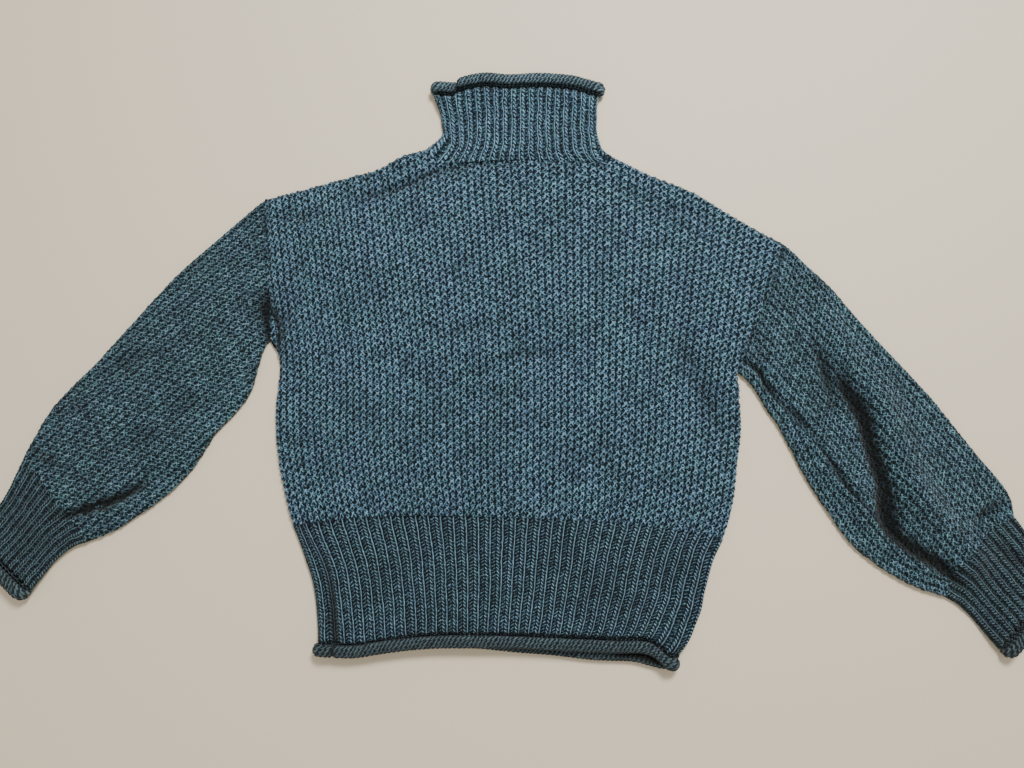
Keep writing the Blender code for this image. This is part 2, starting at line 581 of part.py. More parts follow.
def make_cuff_roll(name, table, hand):
    """A closed ring round a cuff's flattened end; hand is 1 for the right cuff and -1 for the left."""
    a, b = np.array(table[-1][:2]), np.array(table[-1][2:])
    across = (b - a) / np.linalg.norm(b - a)
    onward = hand * np.array([-across[1], across[0]])
    reach = TURN_RADIUS + ROLL_HIGH - CUFF_FLARE
    start = a + onward * ROLL_SEAT + across * reach
    stop = b + onward * ROLL_SEAT - across * reach
    lower, upper = ROLL_HIGH, ROLL_HIGH + STACK
    runs = np.linspace(0, 1, 4)
    path = [np.append(start + t * (stop - start), lower) for t in runs[:-1]]
    path += bend(np.append(stop, lower + TURN_RADIUS), across, -math.pi / 2, math.pi / 2, 6)
    path += [np.append(stop + t * (start - stop), upper) for t in runs[1:-1]]
    path += bend(np.append(start, lower + TURN_RADIUS), -across, math.pi / 2, -math.pi / 2, 6)[:-1]
    make_roll(name, path, np.append(-onward, 0.0), hand, True)


def make_collar_roll():
    """From the seam on the front out to the left fold, under the collar, and back over its front."""
    lower, upper = ROLL_HIGH, ROLL_HIGH + STACK
    ax, ay, bx, by = COLLAR[-1]
    inset = SIDE_HEIGHT / 2
    columns = np.linspace(ax + inset, bx - inset, COLLAR_POINTS)

    def at(x):
        return float(column_line(COLLAR_TOP, x)) + ROLL_SEAT

    reach = TURN_RADIUS + ROLL_HIGH
    first, last = ax + reach - SEAM_BULGE, bx - reach + COLLAR_BULGE
    path = [(COLLAR_OVERLAP - GAP, at(COLLAR_OVERLAP), upper)]
    path += bend((first, at(first), lower + TURN_RADIUS), (-1, 0), math.pi / 2, -math.pi / 2, 6)
    path += [(x, at(x), lower) for x in columns[1:]]
    path += bend((last, at(last), lower + TURN_RADIUS), (1, 0), -math.pi / 2, math.pi / 2, 6)
    path += [(x, at(x), upper) for x in columns[::-1] if x > COLLAR_OVERLAP + 0.001]
    path += [(COLLAR_OVERLAP, at(COLLAR_OVERLAP), upper)]
    make_roll("collar_roll", path, (0, -1, 0), 1, False)


# ================================================================ the jumper
def make_sleeves_and_collar():
    climb = STACK + WALL / 2 - UPPER_MID
    sleeve = (SLEEVE_STEPS, SLEEVE_POINTS, MOSS_KNIT)
    cuff = (6, SLEEVE_POINTS, RIB_KNIT)
    make_tube("sleeve_left", LEFT_SLEEVE, *sleeve, LEFT_FOLDS, start_fade=0.050)
    make_tube("sleeve_right", RIGHT_SLEEVE, *sleeve, RIGHT_FOLDS, start_fade=0.050,
              bows=(no_bow, arch_bow(-RIGHT_CUFF_BOW)))
    make_tube("cuff_left", LEFT_CUFF, *cuff, LEFT_FOLDS, end_fade=0.060, mouth=climb, start_gap=GAP)
    make_tube("cuff_right", RIGHT_CUFF, *cuff, RIGHT_FOLDS, end_fade=0.060,
              bows=(arch_bow(-RIGHT_CUFF_BOW), no_bow), mouth=climb, start_gap=GAP)
    make_tube("collar", COLLAR, 8, COLLAR_POINTS, RIB_KNIT, mouth=climb,
              below=COLLAR_POINTS, bows=(line_bow(NECK_LINE), line_bow(COLLAR_TOP)))
    make_cuff_roll("cuff_roll_left", LEFT_CUFF, -1)
    make_cuff_roll("cuff_roll_right", RIGHT_CUFF, 1)
    make_collar_roll()


def centre_on_origin():
    """Move every piece by one offset, so that the footprint's middle is at the origin."""
    pieces = [obj for obj in bpy.data.objects if obj.type == "MESH"]
    points = np.array([tuple(v.co) for obj in pieces for v in obj.data.vertices])
    middle = (points.min(axis=0) + points.max(axis=0)) / 2
    for obj in pieces:
        for vertex in obj.data.vertices:
            vertex.co.x -= middle[0]
            vertex.co.y -= middle[1]


def main():
    for obj in list(bpy.data.objects):
        bpy.data.objects.remove(obj)
    make_body()
    make_hem()
    make_hem_rolls()
    make_sleeves_and_collar()
    centre_on_origin()


main()
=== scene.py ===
"""Looks for the chunky knitted jumper that lies flat: every stitch is shaped in the mesh and shaded finer."""
import math

import bpy
import numpy as np
from mathutils import Matrix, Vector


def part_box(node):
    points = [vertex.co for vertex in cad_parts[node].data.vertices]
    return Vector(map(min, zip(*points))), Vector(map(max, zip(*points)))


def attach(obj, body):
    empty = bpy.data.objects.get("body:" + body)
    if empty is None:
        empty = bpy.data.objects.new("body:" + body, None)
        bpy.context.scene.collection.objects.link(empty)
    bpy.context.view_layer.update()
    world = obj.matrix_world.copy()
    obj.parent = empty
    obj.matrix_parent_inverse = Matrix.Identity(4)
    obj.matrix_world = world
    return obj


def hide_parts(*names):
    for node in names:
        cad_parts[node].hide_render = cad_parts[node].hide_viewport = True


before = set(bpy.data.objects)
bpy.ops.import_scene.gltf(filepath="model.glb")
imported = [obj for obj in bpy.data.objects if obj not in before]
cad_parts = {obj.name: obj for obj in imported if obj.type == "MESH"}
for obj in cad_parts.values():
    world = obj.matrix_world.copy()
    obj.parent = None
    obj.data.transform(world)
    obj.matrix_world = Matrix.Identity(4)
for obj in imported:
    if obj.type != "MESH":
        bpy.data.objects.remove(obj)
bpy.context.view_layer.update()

# -------- sizes shared with the solids, metres
WALL, GAP, AIR = 0.0040, 0.0003, 0.0010
SIDE_HEIGHT = 2 * WALL + AIR
FOLD_RADIUS = SIDE_HEIGHT / 2
ROLL_WIDE, ROLL_HIGH = 0.0065, 0.0050
ROLL_SEAT = ROLL_WIDE + 0.0004
STACK = 2 * ROLL_HIGH + GAP
TURN_RADIUS = STACK / 2
MOUTH_RISE, MOUTH_DEPTH = 0.0025, 0.035
MOUTH_TOP = STACK + WALL           # upper face of the ribbing where it meets a curled edge
SEAM_BULGE, COLLAR_BULGE = 0.004, 0.008
HEM_WIDE, HEM_DEEP = 0.40, 0.117
EDGE_STRIP = 0.020       # width of the strip between the hem's left fold and the seam beside it
FOLD_REACH = 0.012       # stretch beside a fold, in plan, whose cloth goes round it
QUARTER_EXTRA = 0.5708   # how much longer a quarter turn is than its radius

# Outline of the body, drawn about the middle of the front, with Y = 0 near the hem.
LEFT_SIDE = (
    (-0.235, 0.113), (-0.2463, 0.145), (-0.259, 0.190), (-0.2663, 0.240),
    (-0.266, 0.285), (-0.2695, 0.306), (-0.281, 0.3245))
RIGHT_SIDE = (
    (0.2456, 0.117), (0.256, 0.150), (0.2618, 0.190), (0.2669, 0.240),
    (0.2661, 0.280), (0.265, 0.309))
LEFT_SHOULDER, RIGHT_SHOULDER = (-0.304, 0.497), (0.322, 0.4681)
LEFT_SLOPE = (
    LEFT_SHOULDER, (-0.2504, 0.5147), (-0.1908, 0.5354), (-0.169, 0.5425), (-0.1418, 0.5616),
    (-0.114, 0.571))
RIGHT_SLOPE = (
    (0.114, 0.5715), (0.1563, 0.5513), (0.2161, 0.5285), (0.2505, 0.5066), (0.2913, 0.484),
    RIGHT_SHOULDER)
NECK_LINE = (
    LEFT_SLOPE[-1], (-0.105, 0.558), (-0.095, 0.552), (-0.059, 0.5555), (-0.011, 0.560),
    (0.037, 0.562), (0.086, 0.562), (0.105, 0.559), RIGHT_SLOPE[0])
RIB_BOW, ARCH_POWER = 0.017, 3
PLAIN_LEFT, PLAIN_RIGHT = 0.2665, 0.266    # half widths of the body at the armholes
LEFT_HEM_SIDE = (
    (-0.1961, -0.0115), (-0.2003, 0.020), (-0.2084, 0.055), (-0.2259, 0.095), LEFT_SIDE[0])
RIGHT_HEM_SIDE = (
    (0.196, -0.007), (0.2075, 0.008), (0.215, 0.025), (0.2215, 0.042), (0.225, 0.060),
    (0.2348, 0.095), RIGHT_SIDE[0])
FRONT_ROLL = (
    (-0.1961, -0.0165), (-0.165, -0.0165), (-0.150, -0.0155), (-0.120, -0.0095), (-0.090, -0.005),
    (-0.060, -0.002), (-0.024, -0.0005), (0.019, 0.0005), (0.121, 0.0), (0.145, 0.001),
    (0.158, 0.0005), (0.167, -0.002), (0.176, -0.0085), (0.184, -0.015), (0.196, -0.015))
BACK_ROLL = (
    (-0.1961, -0.0165), (-0.150, -0.0155), (-0.105, -0.008), (-0.060, -0.0025), (-0.024, -0.002),
    (0.019, -0.0045), (0.060, -0.006), (0.105, -0.0092), (0.140, -0.0086), (0.152, -0.0095),
    (0.166, -0.0128), (0.176, -0.015), (0.184, -0.015), (0.196, -0.015))
FRONT_SEAM = (           # the left side seam, which lies on the front beside the hem's left fold
    (-0.1775, -0.0125), (-0.1825, 0.017), (-0.187, 0.040), (-0.193, 0.062), (-0.200, 0.078),
    (-0.2095, 0.095), (-0.220, 0.113))

# One knitted row across a flattened tube in each line: upper fold (a), then lower fold (b).
LEFT_SLEEVE = (
    (*LEFT_SHOULDER, *LEFT_SIDE[-1]), (-0.3311, 0.469, -0.2865, 0.3155), (-0.3599, 0.4389, -0.2912, 0.295),
    (-0.3921, 0.405, -0.297, 0.263), (-0.4223, 0.366, -0.3125, 0.237), (-0.4488, 0.3294, -0.333, 0.211),
    (-0.4765, 0.2914, -0.3514, 0.1757), (-0.5007, 0.2619, -0.3718, 0.149), (-0.5232, 0.2306, -0.3973, 0.1257),
    (-0.5365, 0.200, -0.4313, 0.1007), (-0.5456, 0.1782, -0.459, 0.087))
RIGHT_SLEEVE = (
    (*RIGHT_SHOULDER, *RIGHT_SIDE[-1]), (0.3471, 0.4436, 0.2758, 0.2988), (0.3747, 0.4171, 0.287, 0.2843),
    (0.4009, 0.386, 0.2966, 0.2677), (0.4272, 0.3559, 0.3096, 0.2486), (0.4573, 0.3231, 0.3246, 0.2206),
    (0.4874, 0.289, 0.3416, 0.1876), (0.5129, 0.2558, 0.364, 0.1532), (0.5369, 0.2248, 0.3896, 0.1183),
    (0.5584, 0.1987, 0.4215, 0.094), (0.5712, 0.178, 0.4565, 0.0755), (0.5746, 0.1557, 0.491, 0.066))
LEFT_CUFF = (
    LEFT_SLEEVE[-1], (-0.553, 0.152, -0.476, 0.080), (-0.561, 0.130, -0.493, 0.0644),
    (-0.5735, 0.110, -0.505, 0.0464), (-0.587, 0.092, -0.5135, 0.0314))
RIGHT_CUFF = (
    RIGHT_SLEEVE[-1], (0.5842, 0.1418, 0.507, 0.057), (0.596, 0.124, 0.522, 0.043),
    (0.607, 0.107, 0.5345, 0.027), (0.616, 0.091, 0.546, 0.013))
COLLAR = (
    (*LEFT_SLOPE[-1], *RIGHT_SLOPE[0]), (-0.1042, 0.580, 0.1016, 0.580), (-0.095, 0.592, 0.0966, 0.592),
    (-0.0968, 0.606, 0.0933, 0.606), (-0.0992, 0.619, 0.0934, 0.619), (-0.1048, 0.632, 0.0928, 0.634),
    (-0.1085, 0.6415, 0.0942, 0.6485))
COLLAR_TOP = (
    COLLAR[-1][:2], (-0.090, 0.6415), (-0.070, 0.650), (-0.046, 0.6555), (-0.017, 0.6545),
    (0.021, 0.658), (0.058, 0.657), (0.077, 0.653), COLLAR[-1][2:])
RIGHT_CUFF_BOW, CUFF_FLARE = 0.013, 0.002
COLLAR_OVERLAP = -0.080

# -------- folds: x0, y0, x1, y1, half width, height
LEFT_FOLDS = (
    (-0.360, 0.400, -0.330, 0.330, 0.030, 0.0020), (-0.430, 0.330, -0.340, 0.240, 0.045, 0.0025),
    (-0.475, 0.240, -0.400, 0.170, 0.038, 0.0025))
RIGHT_FOLDS = (
    (0.372, 0.370, 0.425, 0.270, 0.020, 0.0050), (0.425, 0.285, 0.465, 0.170, 0.022, 0.0095),
    (0.455, 0.185, 0.520, 0.110, 0.020, 0.0105), (0.330, 0.265, 0.400, 0.160, 0.020, 0.0045),
    (0.400, 0.165, 0.470, 0.095, 0.018, 0.0050))
BODY_FOLDS = (
    (0.170, 0.420, 0.120, 0.250, 0.060, 0.0025), (-0.120, 0.430, -0.090, 0.230, 0.080, 0.0025),
    (-0.235, 0.470, -0.180, 0.400, 0.040, 0.0015))
# Creases: points x, y with a share of the depth, then half width and depth.
UNDERARM = ((-0.294, 0.380, 0.2), (-0.291, 0.365, 0.7), (-0.281, 0.341, 1.0), (-0.277, 0.321, 1.0),
            (-0.280, 0.309, 0.5))
RIGHT_CREASES = (
    (((0.350, 0.350, 0.2), (0.361, 0.329, 0.9), (0.369, 0.304, 1.0), (0.375, 0.271, 0.3)), 0.0075, 0.0050),
    (((0.380, 0.318, 0.2), (0.390, 0.291, 0.9), (0.405, 0.264, 1.0), (0.416, 0.225, 1.0), (0.427, 0.186, 1.0),
      (0.437, 0.142, 0.5)), 0.0080, 0.0090),
    (((0.420, 0.172, 0.4), (0.425, 0.151, 1.0), (0.434, 0.134, 1.0), (0.458, 0.115, 1.0), (0.485, 0.100, 0.9),
      (0.508, 0.081, 0.3)), 0.0070, 0.0110),
    (((0.527, 0.149, 0.4), (0.544, 0.161, 1.0), (0.566, 0.175, 0.5)), 0.0060, 0.0040),
    (((0.553, 0.125, 0.5), (0.569, 0.113, 1.0), (0.585, 0.101, 0.3)), 0.0070, 0.0035),
    (((0.260, 0.329, 0.5), (0.287, 0.313, 1.0), (0.297, 0.295, 1.0), (0.315, 0.273, 0.7), (0.333, 0.256, 0.9),
      (0.350, 0.235, 0.4), (0.365, 0.213, 0.7), (0.3865, 0.181, 1.0), (0.413, 0.150, 0.5),
      (0.430, 0.130, 0.0)), 0.0030, 0.0060))
LEFT_CREASES = (
    (((-0.500, 0.111, 0.3), (-0.466, 0.122, 1.0), (-0.440, 0.132, 1.0), (-0.420, 0.143, 0.8),
      (-0.402, 0.155, 0.3)), 0.0052, 0.0078),
    (UNDERARM, 0.0090, 0.0085),
    (((-0.474, 0.262, 0.3), (-0.443, 0.290, 1.0), (-0.405, 0.308, 0.3)), 0.0120, 0.0025),
    (((-0.457, 0.177, 0.3), (-0.405, 0.213, 1.0), (-0.347, 0.256, 0.4)), 0.0150, 0.0016),
    (((-0.561, 0.195, 0.5), (-0.530, 0.178, 1.0), (-0.500, 0.164, 0.3)), 0.0080, 0.0030))
BODY_CREASES = (
    (UNDERARM, 0.0090, 0.0085),
    (((-0.201, 0.503, 0.2), (-0.154, 0.514, 0.9), (-0.107, 0.539, 1.0), (-0.059, 0.551, 0.7),
      (-0.011, 0.557, 0.2)), 0.0055, 0.0038),
    (((0.117, 0.539, 0.8), (0.159, 0.515, 0.8), (0.220, 0.501, 0.7), (0.238, 0.496, 0.2)), 0.0065, 0.0020),
    (((-0.303, 0.469, 0.5), (-0.271, 0.478, 1.0), (-0.223, 0.478, 0.3)), 0.0080, 0.0020),
    (((-0.267, 0.372, 0.4), (-0.267, 0.354, 1.0), (-0.267, 0.336, 0.6)), 0.0120, 0.0020),
    (((-0.081, 0.337, 0.4), (-0.066, 0.343, 1.0), (-0.037, 0.353, 0.8), (0.000, 0.362, 0.3)), 0.0065, 0.0026),
    (((-0.015, 0.316, 0.4), (0.022, 0.321, 1.0), (0.074, 0.327, 0.4)), 0.0065, 0.0020),
    (((-0.028, 0.268, 0.4), (0.001, 0.273, 1.0), (0.024, 0.270, 0.3)), 0.0060, 0.0016),
    (((0.118, 0.270, 0.4), (0.110, 0.223, 1.0), (0.118, 0.178, 0.8), (0.128, 0.123, 0.8),
      (0.122, 0.069, 0.3)), 0.0130, 0.0012),
    (((0.201, 0.366, 0.2), (0.208, 0.332, 0.7), (0.219, 0.300, 1.0), (0.235, 0.269, 0.9),
      (0.242, 0.240, 0.3)), 0.0150, 0.0030))
FOLD_MARGIN = 0.030
FULL_SHADE_DEPTH = 0.0060         # depth of a crease or dip at which its painted shade, which grows with depth, is darkest
SEAM_DIP, SEAM_WIDE = 0.0020, 0.0045       # a sewn seam, and a curl's meeting with the ribbing
MEETING_DIP, MEETING_WIDE = 0.0045, 0.0026

# -------- stitches
BODY_STITCHES = 70       # columns across the front
BODY_ROW = 0.00425
COLUMN_LEAN = (-0.218, 0.072, 0.329)     # slope of the columns above the armholes: 1, u and u squared
LEAN_FROM, LEAN_SOFT = 0.28, 0.04
FOLD_END, FOLD_FADE = 0.290, 0.03        # where the side folds end at the armholes
ROW_TILT, TILT_TURN = 0.055, 0.080       # rows rise to the right, then fall beyond x = TILT_TURN
TILT_FROM, TILT_OVER, TILT_BACK = 0.13, 0.18, 0.45
SLEEVE_STITCHES = 22     # columns across a sleeve's upper layer at the shoulder
SLEEVE_ROWS = 72
SLEEVE_COLUMN, SLEEVE_ROW = 0.0084, 0.00476
LEFT_GRAIN, RIGHT_GRAIN = -133.0, -47.5  # direction of the columns from shoulder to cuff, degrees
HEM_RIBS, HEM_LINES = 34, 35
EDGE_RIBS = 2            # ribs of the back that turn over the left fold onto the front
CUFF_RIBS, CUFF_LINES = 12, 26
COLLAR_RIBS, COLLAR_LINES = 18, 19
RIB_WIDE = 0.0104
COLLAR_WAIST = (-0.094, 0.092)   # where the collar's ribs would start if they did not flare
ROLL_RIB, ROLL_LINE = 0.0042, 0.0047
CURL_FROM, CURL_TO, CURL_STEPS = 5, -395, 27   # degrees round a curl, whose end shrinks by CURL_TUCK
CURL_TUCK, CURL_TUCK_TURN = 0.42, 95
RELIEF_FRONT, RELIEF_BACK, RELIEF_SLEEVE, RELIEF_COLLAR = 0.0026, 0.0022, 0.0024, 0.0026
RELIEF_RIB, RELIEF_CURL = 0.0028, 0.0016       # how far the yarn stands out over its pits
TOP_LEVEL = 0.55         # height of the yarn that stays at the solid's surface


class Stitch:
    """A repeat of knitting, in millimetres from its lower left corner: strokes of yarn that stand up
    (x0, y0, x1, y1, half width, height) and pits between them (the same with a depth). lines is the
    number of knitted rows in it and shift how far every other column is moved. Between the strokes
    lies the ground, with a rim of another height round them. Ribs stand proud at the share middle of
    the width by ridge."""

    def __init__(self, wide, high, lines, shift, ground, rim, strokes, pits=(), middle=0.0, ridge=0.0):
        self.wide, self.high, self.lines, self.shift = wide, high, lines, shift
        self.ground, self.rim, self.strokes, self.pits = ground, rim, strokes, pits
        self.middle, self.ridge = middle, ridge

    def shape(self, line):
        """Middle, direction and length of a stroke."""
        x0, y0, x1, y1 = line
        length = math.hypot(x1 - x0, y1 - y0)
        return ((x0 + x1) / 2, (y0 + y1) / 2), ((x1 - x0) / length, (y1 - y0) / length), length

    def relief(self, c, r):
        """Height from 0 to 1 at a column and row of knitting."""
        column = np.floor(c)
        px = (c - column) * self.wide
        py = (r / self.lines + self.shift * np.mod(column, 2)) * self.high

        def falloff(line, half_width):
            middle, way, length = self.shape(line)
            dx = px - middle[0]
            dy = np.mod(py - middle[1] + self.high / 2, self.high) - self.high / 2
            t = np.clip(dx * way[0] + dy * way[1], -length / 2, length / 2)
            return smooth(1.3 - 1.3 * np.hypot(dx - t * way[0], dy - t * way[1]) / half_width)

        height = np.full(np.shape(px), self.ground)
        for *line, half_width, top in self.strokes:
            height = np.maximum(height, top * falloff(line, half_width))
        for *line, half_width, depth in self.pits:
            height = height * (1 - depth * falloff(line, half_width))
        wave = 0.5 + 0.5 * np.cos(2 * math.pi * (c - column - self.middle))
        return self.ridge * wave + (1 - self.ridge) * height

    def nodes(self, n, c, r):
        """The same height in a material, with a thin dark rim of painted shade round each stroke, and a
        number for each stitch."""
        column = n.math("FLOOR", c)
        repeat = n.math("DIVIDE", r, self.lines)
        turn = n.math("MULTIPLY_ADD", n.math("MODULO", column, 2.0), self.shift, repeat)
        share = n.math("FRACT", c)
        px, py = n.math("MULTIPLY", share, self.wide), n.math("MULTIPLY", turn, self.high)

        def away(line):
            middle, way, length = self.shape(line)
            dy = n.math("WRAP", n.math("SUBTRACT", py, middle[1]), self.high / 2, -self.high / 2)
            offset = n.add("ShaderNodeCombineXYZ", n.math("SUBTRACT", px, middle[0]), dy).outputs[0]
            along = n.vector("DOT_PRODUCT", offset, (*way, 0.0), out=1)
            along = n.math("MINIMUM", n.math("MAXIMUM", along, -length / 2), length / 2)
            nearest = n.vector("SCALE", (*way, 0.0), scale=along)
            return n.vector("LENGTH", n.vector("SUBTRACT", offset, nearest), out=1)

        height, ground = 0.0, self.ground
        for *line, half_width, top in self.strokes:
            gap = away(line)
            height = n.math("MAXIMUM", height, n.ease(gap, 0.25 * half_width, half_width, top, 0.0))
            # painted shade: a dark rim round each stroke, lowering the height that the colour ramp and the
            # bump read
            dark = n.ease(gap, 0.85 * half_width, 1.5 * half_width, self.rim, self.ground)
            ground = n.math("MINIMUM", ground, dark)
        height = n.math("MAXIMUM", height, ground)
        for *line, half_width, depth in self.pits:
            share_left = n.ease(away(line), 0.35 * half_width, half_width, 1 - depth, 1.0)
            height = n.math("MULTIPLY", height, share_left)
        if self.ridge:
            # painted shade: the troughs between ribs come out a little darker
            wave = n.math("COSINE", n.math("MULTIPLY", n.math("SUBTRACT", share, self.middle), 2 * math.pi))
            height = n.math("MULTIPLY", height, n.math("MULTIPLY_ADD", wave, 0.09, 0.91))
        return height, n.add("ShaderNodeCombineXYZ", column, n.math("FLOOR", turn)).outputs[0]


MOSS = Stitch(8.2, 8.5, 2, 0.5, 0.45, 0.14, (
    (3.9, 4.9, 4.6, 5.1, 1.85, 0.92), (3.5, 5.4, 1.9, 7.0, 1.05, 0.85), (5.0, 5.4, 6.4, 7.2, 1.10, 0.98),
    (3.3, 4.2, 1.0, 1.3, 1.15, 0.90), (5.1, 4.0, 6.5, 1.9, 1.25, 0.85)), (
    (-0.9, 3.1, 0.9, 6.0, 1.80, 1.00), (7.3, -1.2, 9.1, 1.8, 1.80, 1.00), (4.1, 1.2, 4.2, 2.3, 1.20, 1.00),
    (7.7, 4.0, 8.0, 6.2, 0.75, 0.55), (3.9, 6.9, 4.3, 6.9, 0.80, 0.40)))
SLEEVE_MOSS = Stitch(8.4, 9.5, 2, 0.5, 0.48, 0.25, (
    (3.7, 5.3, 5.0, 5.5, 1.60, 0.82), (3.2, 6.6, 2.4, 7.5, 1.10, 0.66), (5.4, 6.6, 6.3, 7.8, 1.15, 0.84),
    (2.8, 4.2, 1.6, 2.4, 1.20, 0.76), (5.8, 3.9, 6.7, 2.4, 1.15, 0.68)), (
    (-0.8, 3.8, 0.8, 6.2, 1.55, 0.95), (7.6, -1.0, 9.2, 1.4, 1.55, 0.95), (7.8, 4.4, 8.6, 5.8, 1.20, 0.80),
    (-0.4, -0.4, 0.4, 1.0, 1.20, 0.80), (4.2, 1.4, 4.3, 2.5, 1.10, 0.90), (4.2, 6.9, 4.3, 7.8, 0.90, 0.70)))
RIB = Stitch(12.4, 3.55, 1, 0.0, 0.38, 0.06, (
    (0.9, 0.0, 0.9, 3.55, 0.95, 1.00), (3.2, 0.4, 6.2, 2.5, 0.90, 0.72), (8.2, 2.7, 10.0, 1.1, 1.10, 1.00)), (
    (2.4, 1.8, 3.4, 2.5, 1.40, 1.00), (6.9, 0.2, 7.3, 1.1, 1.00, 0.95), (11.3, 2.4, 11.6, 3.0, 1.00, 0.85)),
    0.86, 0.55)
COLLAR_RIB = Stitch(10.4, 4.25, 1, 0.0, 0.38, 0.12, (
    (1.0, 0.0, 1.0, 4.25, 0.95, 0.92), (3.3, 3.3, 5.4, 1.3, 1.20, 1.00), (8.3, 2.2, 8.9, 2.6, 0.85, 0.68)), (
    (7.3, 0.0, 8.6, 0.7, 1.55, 1.00), (2.5, 0.3, 2.5, 1.3, 0.85, 0.90), (6.3, 2.6, 6.6, 3.0, 0.80, 0.70)),
    0.28, 0.55)
CURL = Stitch(4.2, 4.2, 1, 0.5, 0.25, 0.10, ((0.6, 0.7, 3.6, 3.6, 1.25, 1.00),))


# ======== curves
def smooth(t):
    t = np.clip(t, 0.0, 1.0)
    return t * t * (3.0 - 2.0 * t)


def smooth_curve(points, samples=24):
    """A Catmull-Rom curve through the points, as many close points."""
    p = np.array(points, float)
    p = np.vstack([2 * p[0] - p[1], p, 2 * p[-1] - p[-2]])
    t = np.arange(samples)[:, None] / samples
    stretches = []
    for p0, p1, p2, p3 in zip(p[:-3], p[1:-2], p[2:-1], p[3:]):
        stretches.append(p1 + 0.5 * t * (p2 - p0) + 0.5 * t**2 * (2 * p0 - 5 * p1 + 4 * p2 - p3)
                         + 0.5 * t**3 * (3 * p1 - 3 * p2 + p3 - p0))
    return np.vstack(stretches + [p[-2:-1]])


def at_share(line, share):
    steps = np.linalg.norm(np.diff(line, axis=0), axis=1)
    length = np.concatenate([[0.0], np.cumsum(steps)])
    where = np.asarray(share) * length[-1]
    return np.stack([np.interp(where, length, line[:, k]) for k in range(line.shape[1])], axis=-1)


def by_x(table, x):
    line = smooth_curve(table)
    return np.interp(x, line[:, 0], line[:, 1])


def arch(t):
    """0 at both ends of a row, 1 in its middle."""
    return 1 - np.abs(2 * np.clip(t, 0, 1) - 1) ** ARCH_POWER


def to_piece(start, end, x, y):
    """Share of the way along a straight piece and distance from it, in plan."""
    dx, dy = end[0] - start[0], end[1] - start[1]
    along = (x - start[0]) * dx + (y - start[1]) * dy
    t = np.clip(along / max(dx * dx + dy * dy, 1e-12), 0.0, 1.0)
    return t, np.hypot(x - start[0] - t * dx, y - start[1] - t * dy)


def distance_to(line, x, y):
    """Distance in plan from points to a line of straight pieces."""
    nearest = np.full(np.shape(x), np.inf)
    for start, end in zip(line[:-1], line[1:]):
        nearest = np.minimum(nearest, to_piece(start, end, x, y)[1])
    return nearest


def fold_height(folds, x, y):
    height = np.zeros(np.shape(x))
    for x0, y0, x1, y1, half_width, rise in folds:
        length = math.hypot(x1 - x0, y1 - y0)
        along = ((x - x0) * (x1 - x0) + (y - y0) * (y1 - y0)) / length
        across = ((x - x0) * (y1 - y0) - (y - y0) * (x1 - x0)) / length
        beyond = np.maximum(np.abs(along - length / 2) - length / 2, 0.0)
        height += rise * np.exp(-(across / half_width) ** 2 - (beyond / half_width) ** 2)
    return height


def crease_depth(creases, x, y):
    """Depth of the creases, each along its own line, where it is shallower towards its ends."""
    depth = np.zeros(np.shape(x))
    for line, half_width, deep in creases:
        points = smooth_curve(line, 6)
        cut = np.zeros(np.shape(x))
        for start, end in zip(points[:-1], points[1:]):
            t, away = to_piece(start, end, x, y)
            share = start[2] + t * (end[2] - start[2])
            cut = np.maximum(cut, share * np.exp(-(away / half_width) ** 2))
        depth += deep * cut
    return depth


def waves(x, y, size, seed):
    """Smooth uneven values from -1 to 1 over points in plan."""
    total = np.zeros(np.shape(x))
    for k in range(5):
        angle = seed * 1.7 + k * 2.4
        scale = 2 * math.pi / size * (0.7 + 0.25 * k)
        total += np.sin(scale * (x * math.cos(angle) + y * math.sin(angle)) + seed * 3.1 + k * 1.9)
    return total / 5


# ======== meshes
def make_sheet(name, points, stitch, kind, depth, keep=None, deep=None, level=1.0):
    """A grid of points as a mesh, pressed in along its normals between the strokes of yarn.
    keep holds the last row that each column reaches; rows beyond it are closed up. level is the
    height of the yarn that stays where the points are. deep is painted shade from 0 to 1, kept on
    the points and darkening the yarn's colour in the material."""
    rows, columns = points.shape[:2]
    index = np.arange(rows * columns).reshape(rows, columns)
    if keep is not None:
        index = np.where(np.arange(rows)[:, None] > keep[None], index[keep, np.arange(columns)][None], index)
    quads = np.stack([index[:-1, :-1], index[:-1, 1:], index[1:, 1:], index[1:, :-1]], axis=-1).reshape(-1, 4)
    same = (np.sort(quads, axis=1)[:, 1:] == np.sort(quads, axis=1)[:, :-1]).sum(axis=1)
    used = np.unique(quads[same < 2])
    new = np.full(rows * columns, -1)
    new[used] = np.arange(len(used))
    faces = new[quads[same == 0]].tolist()
    faces += [list(dict.fromkeys(new[quad].tolist())) for quad in quads[same == 1]]
    co = points.reshape(-1, 3)[used]
    uv = stitch.reshape(-1, 2)[used]

    mesh = bpy.data.meshes.new(name)
    mesh.from_pydata(co.tolist(), [], faces)
    normals = np.zeros(len(co) * 3)
    mesh.vertex_normals.foreach_get("vector", normals)
    co = co + normals.reshape(-1, 3) * ((kind.relief(uv[:, 0], uv[:, 1]) - level) * depth)[:, None]
    co[:, 2] = np.maximum(co[:, 2], 0.0003)
    mesh.vertices.foreach_set("co", co.ravel())
    loops = np.zeros(len(mesh.loops), int)
    mesh.loops.foreach_get("vertex_index", loops)
    layer = mesh.uv_layers.new(name="stitch")
    layer.data.foreach_set("uv", uv[loops].ravel())
    # painted shade: deep is stored as an attribute that darkens the yarn's colour
    shade = mesh.attributes.new("painted_shade", "FLOAT", "POINT")
    values = np.zeros(len(co)) if deep is None else np.clip(deep.reshape(-1)[used], 0, 1)
    shade.data.foreach_set("value", values)
    mesh.shade_smooth()
    mesh.update()
    obj = bpy.data.objects.new(name, mesh)
    bpy.context.scene.collection.objects.link(obj)
    return obj


def facing(points, flip):
    """Turns a grid over when its faces would look inwards."""
    return points[:, ::-1] if flip else points


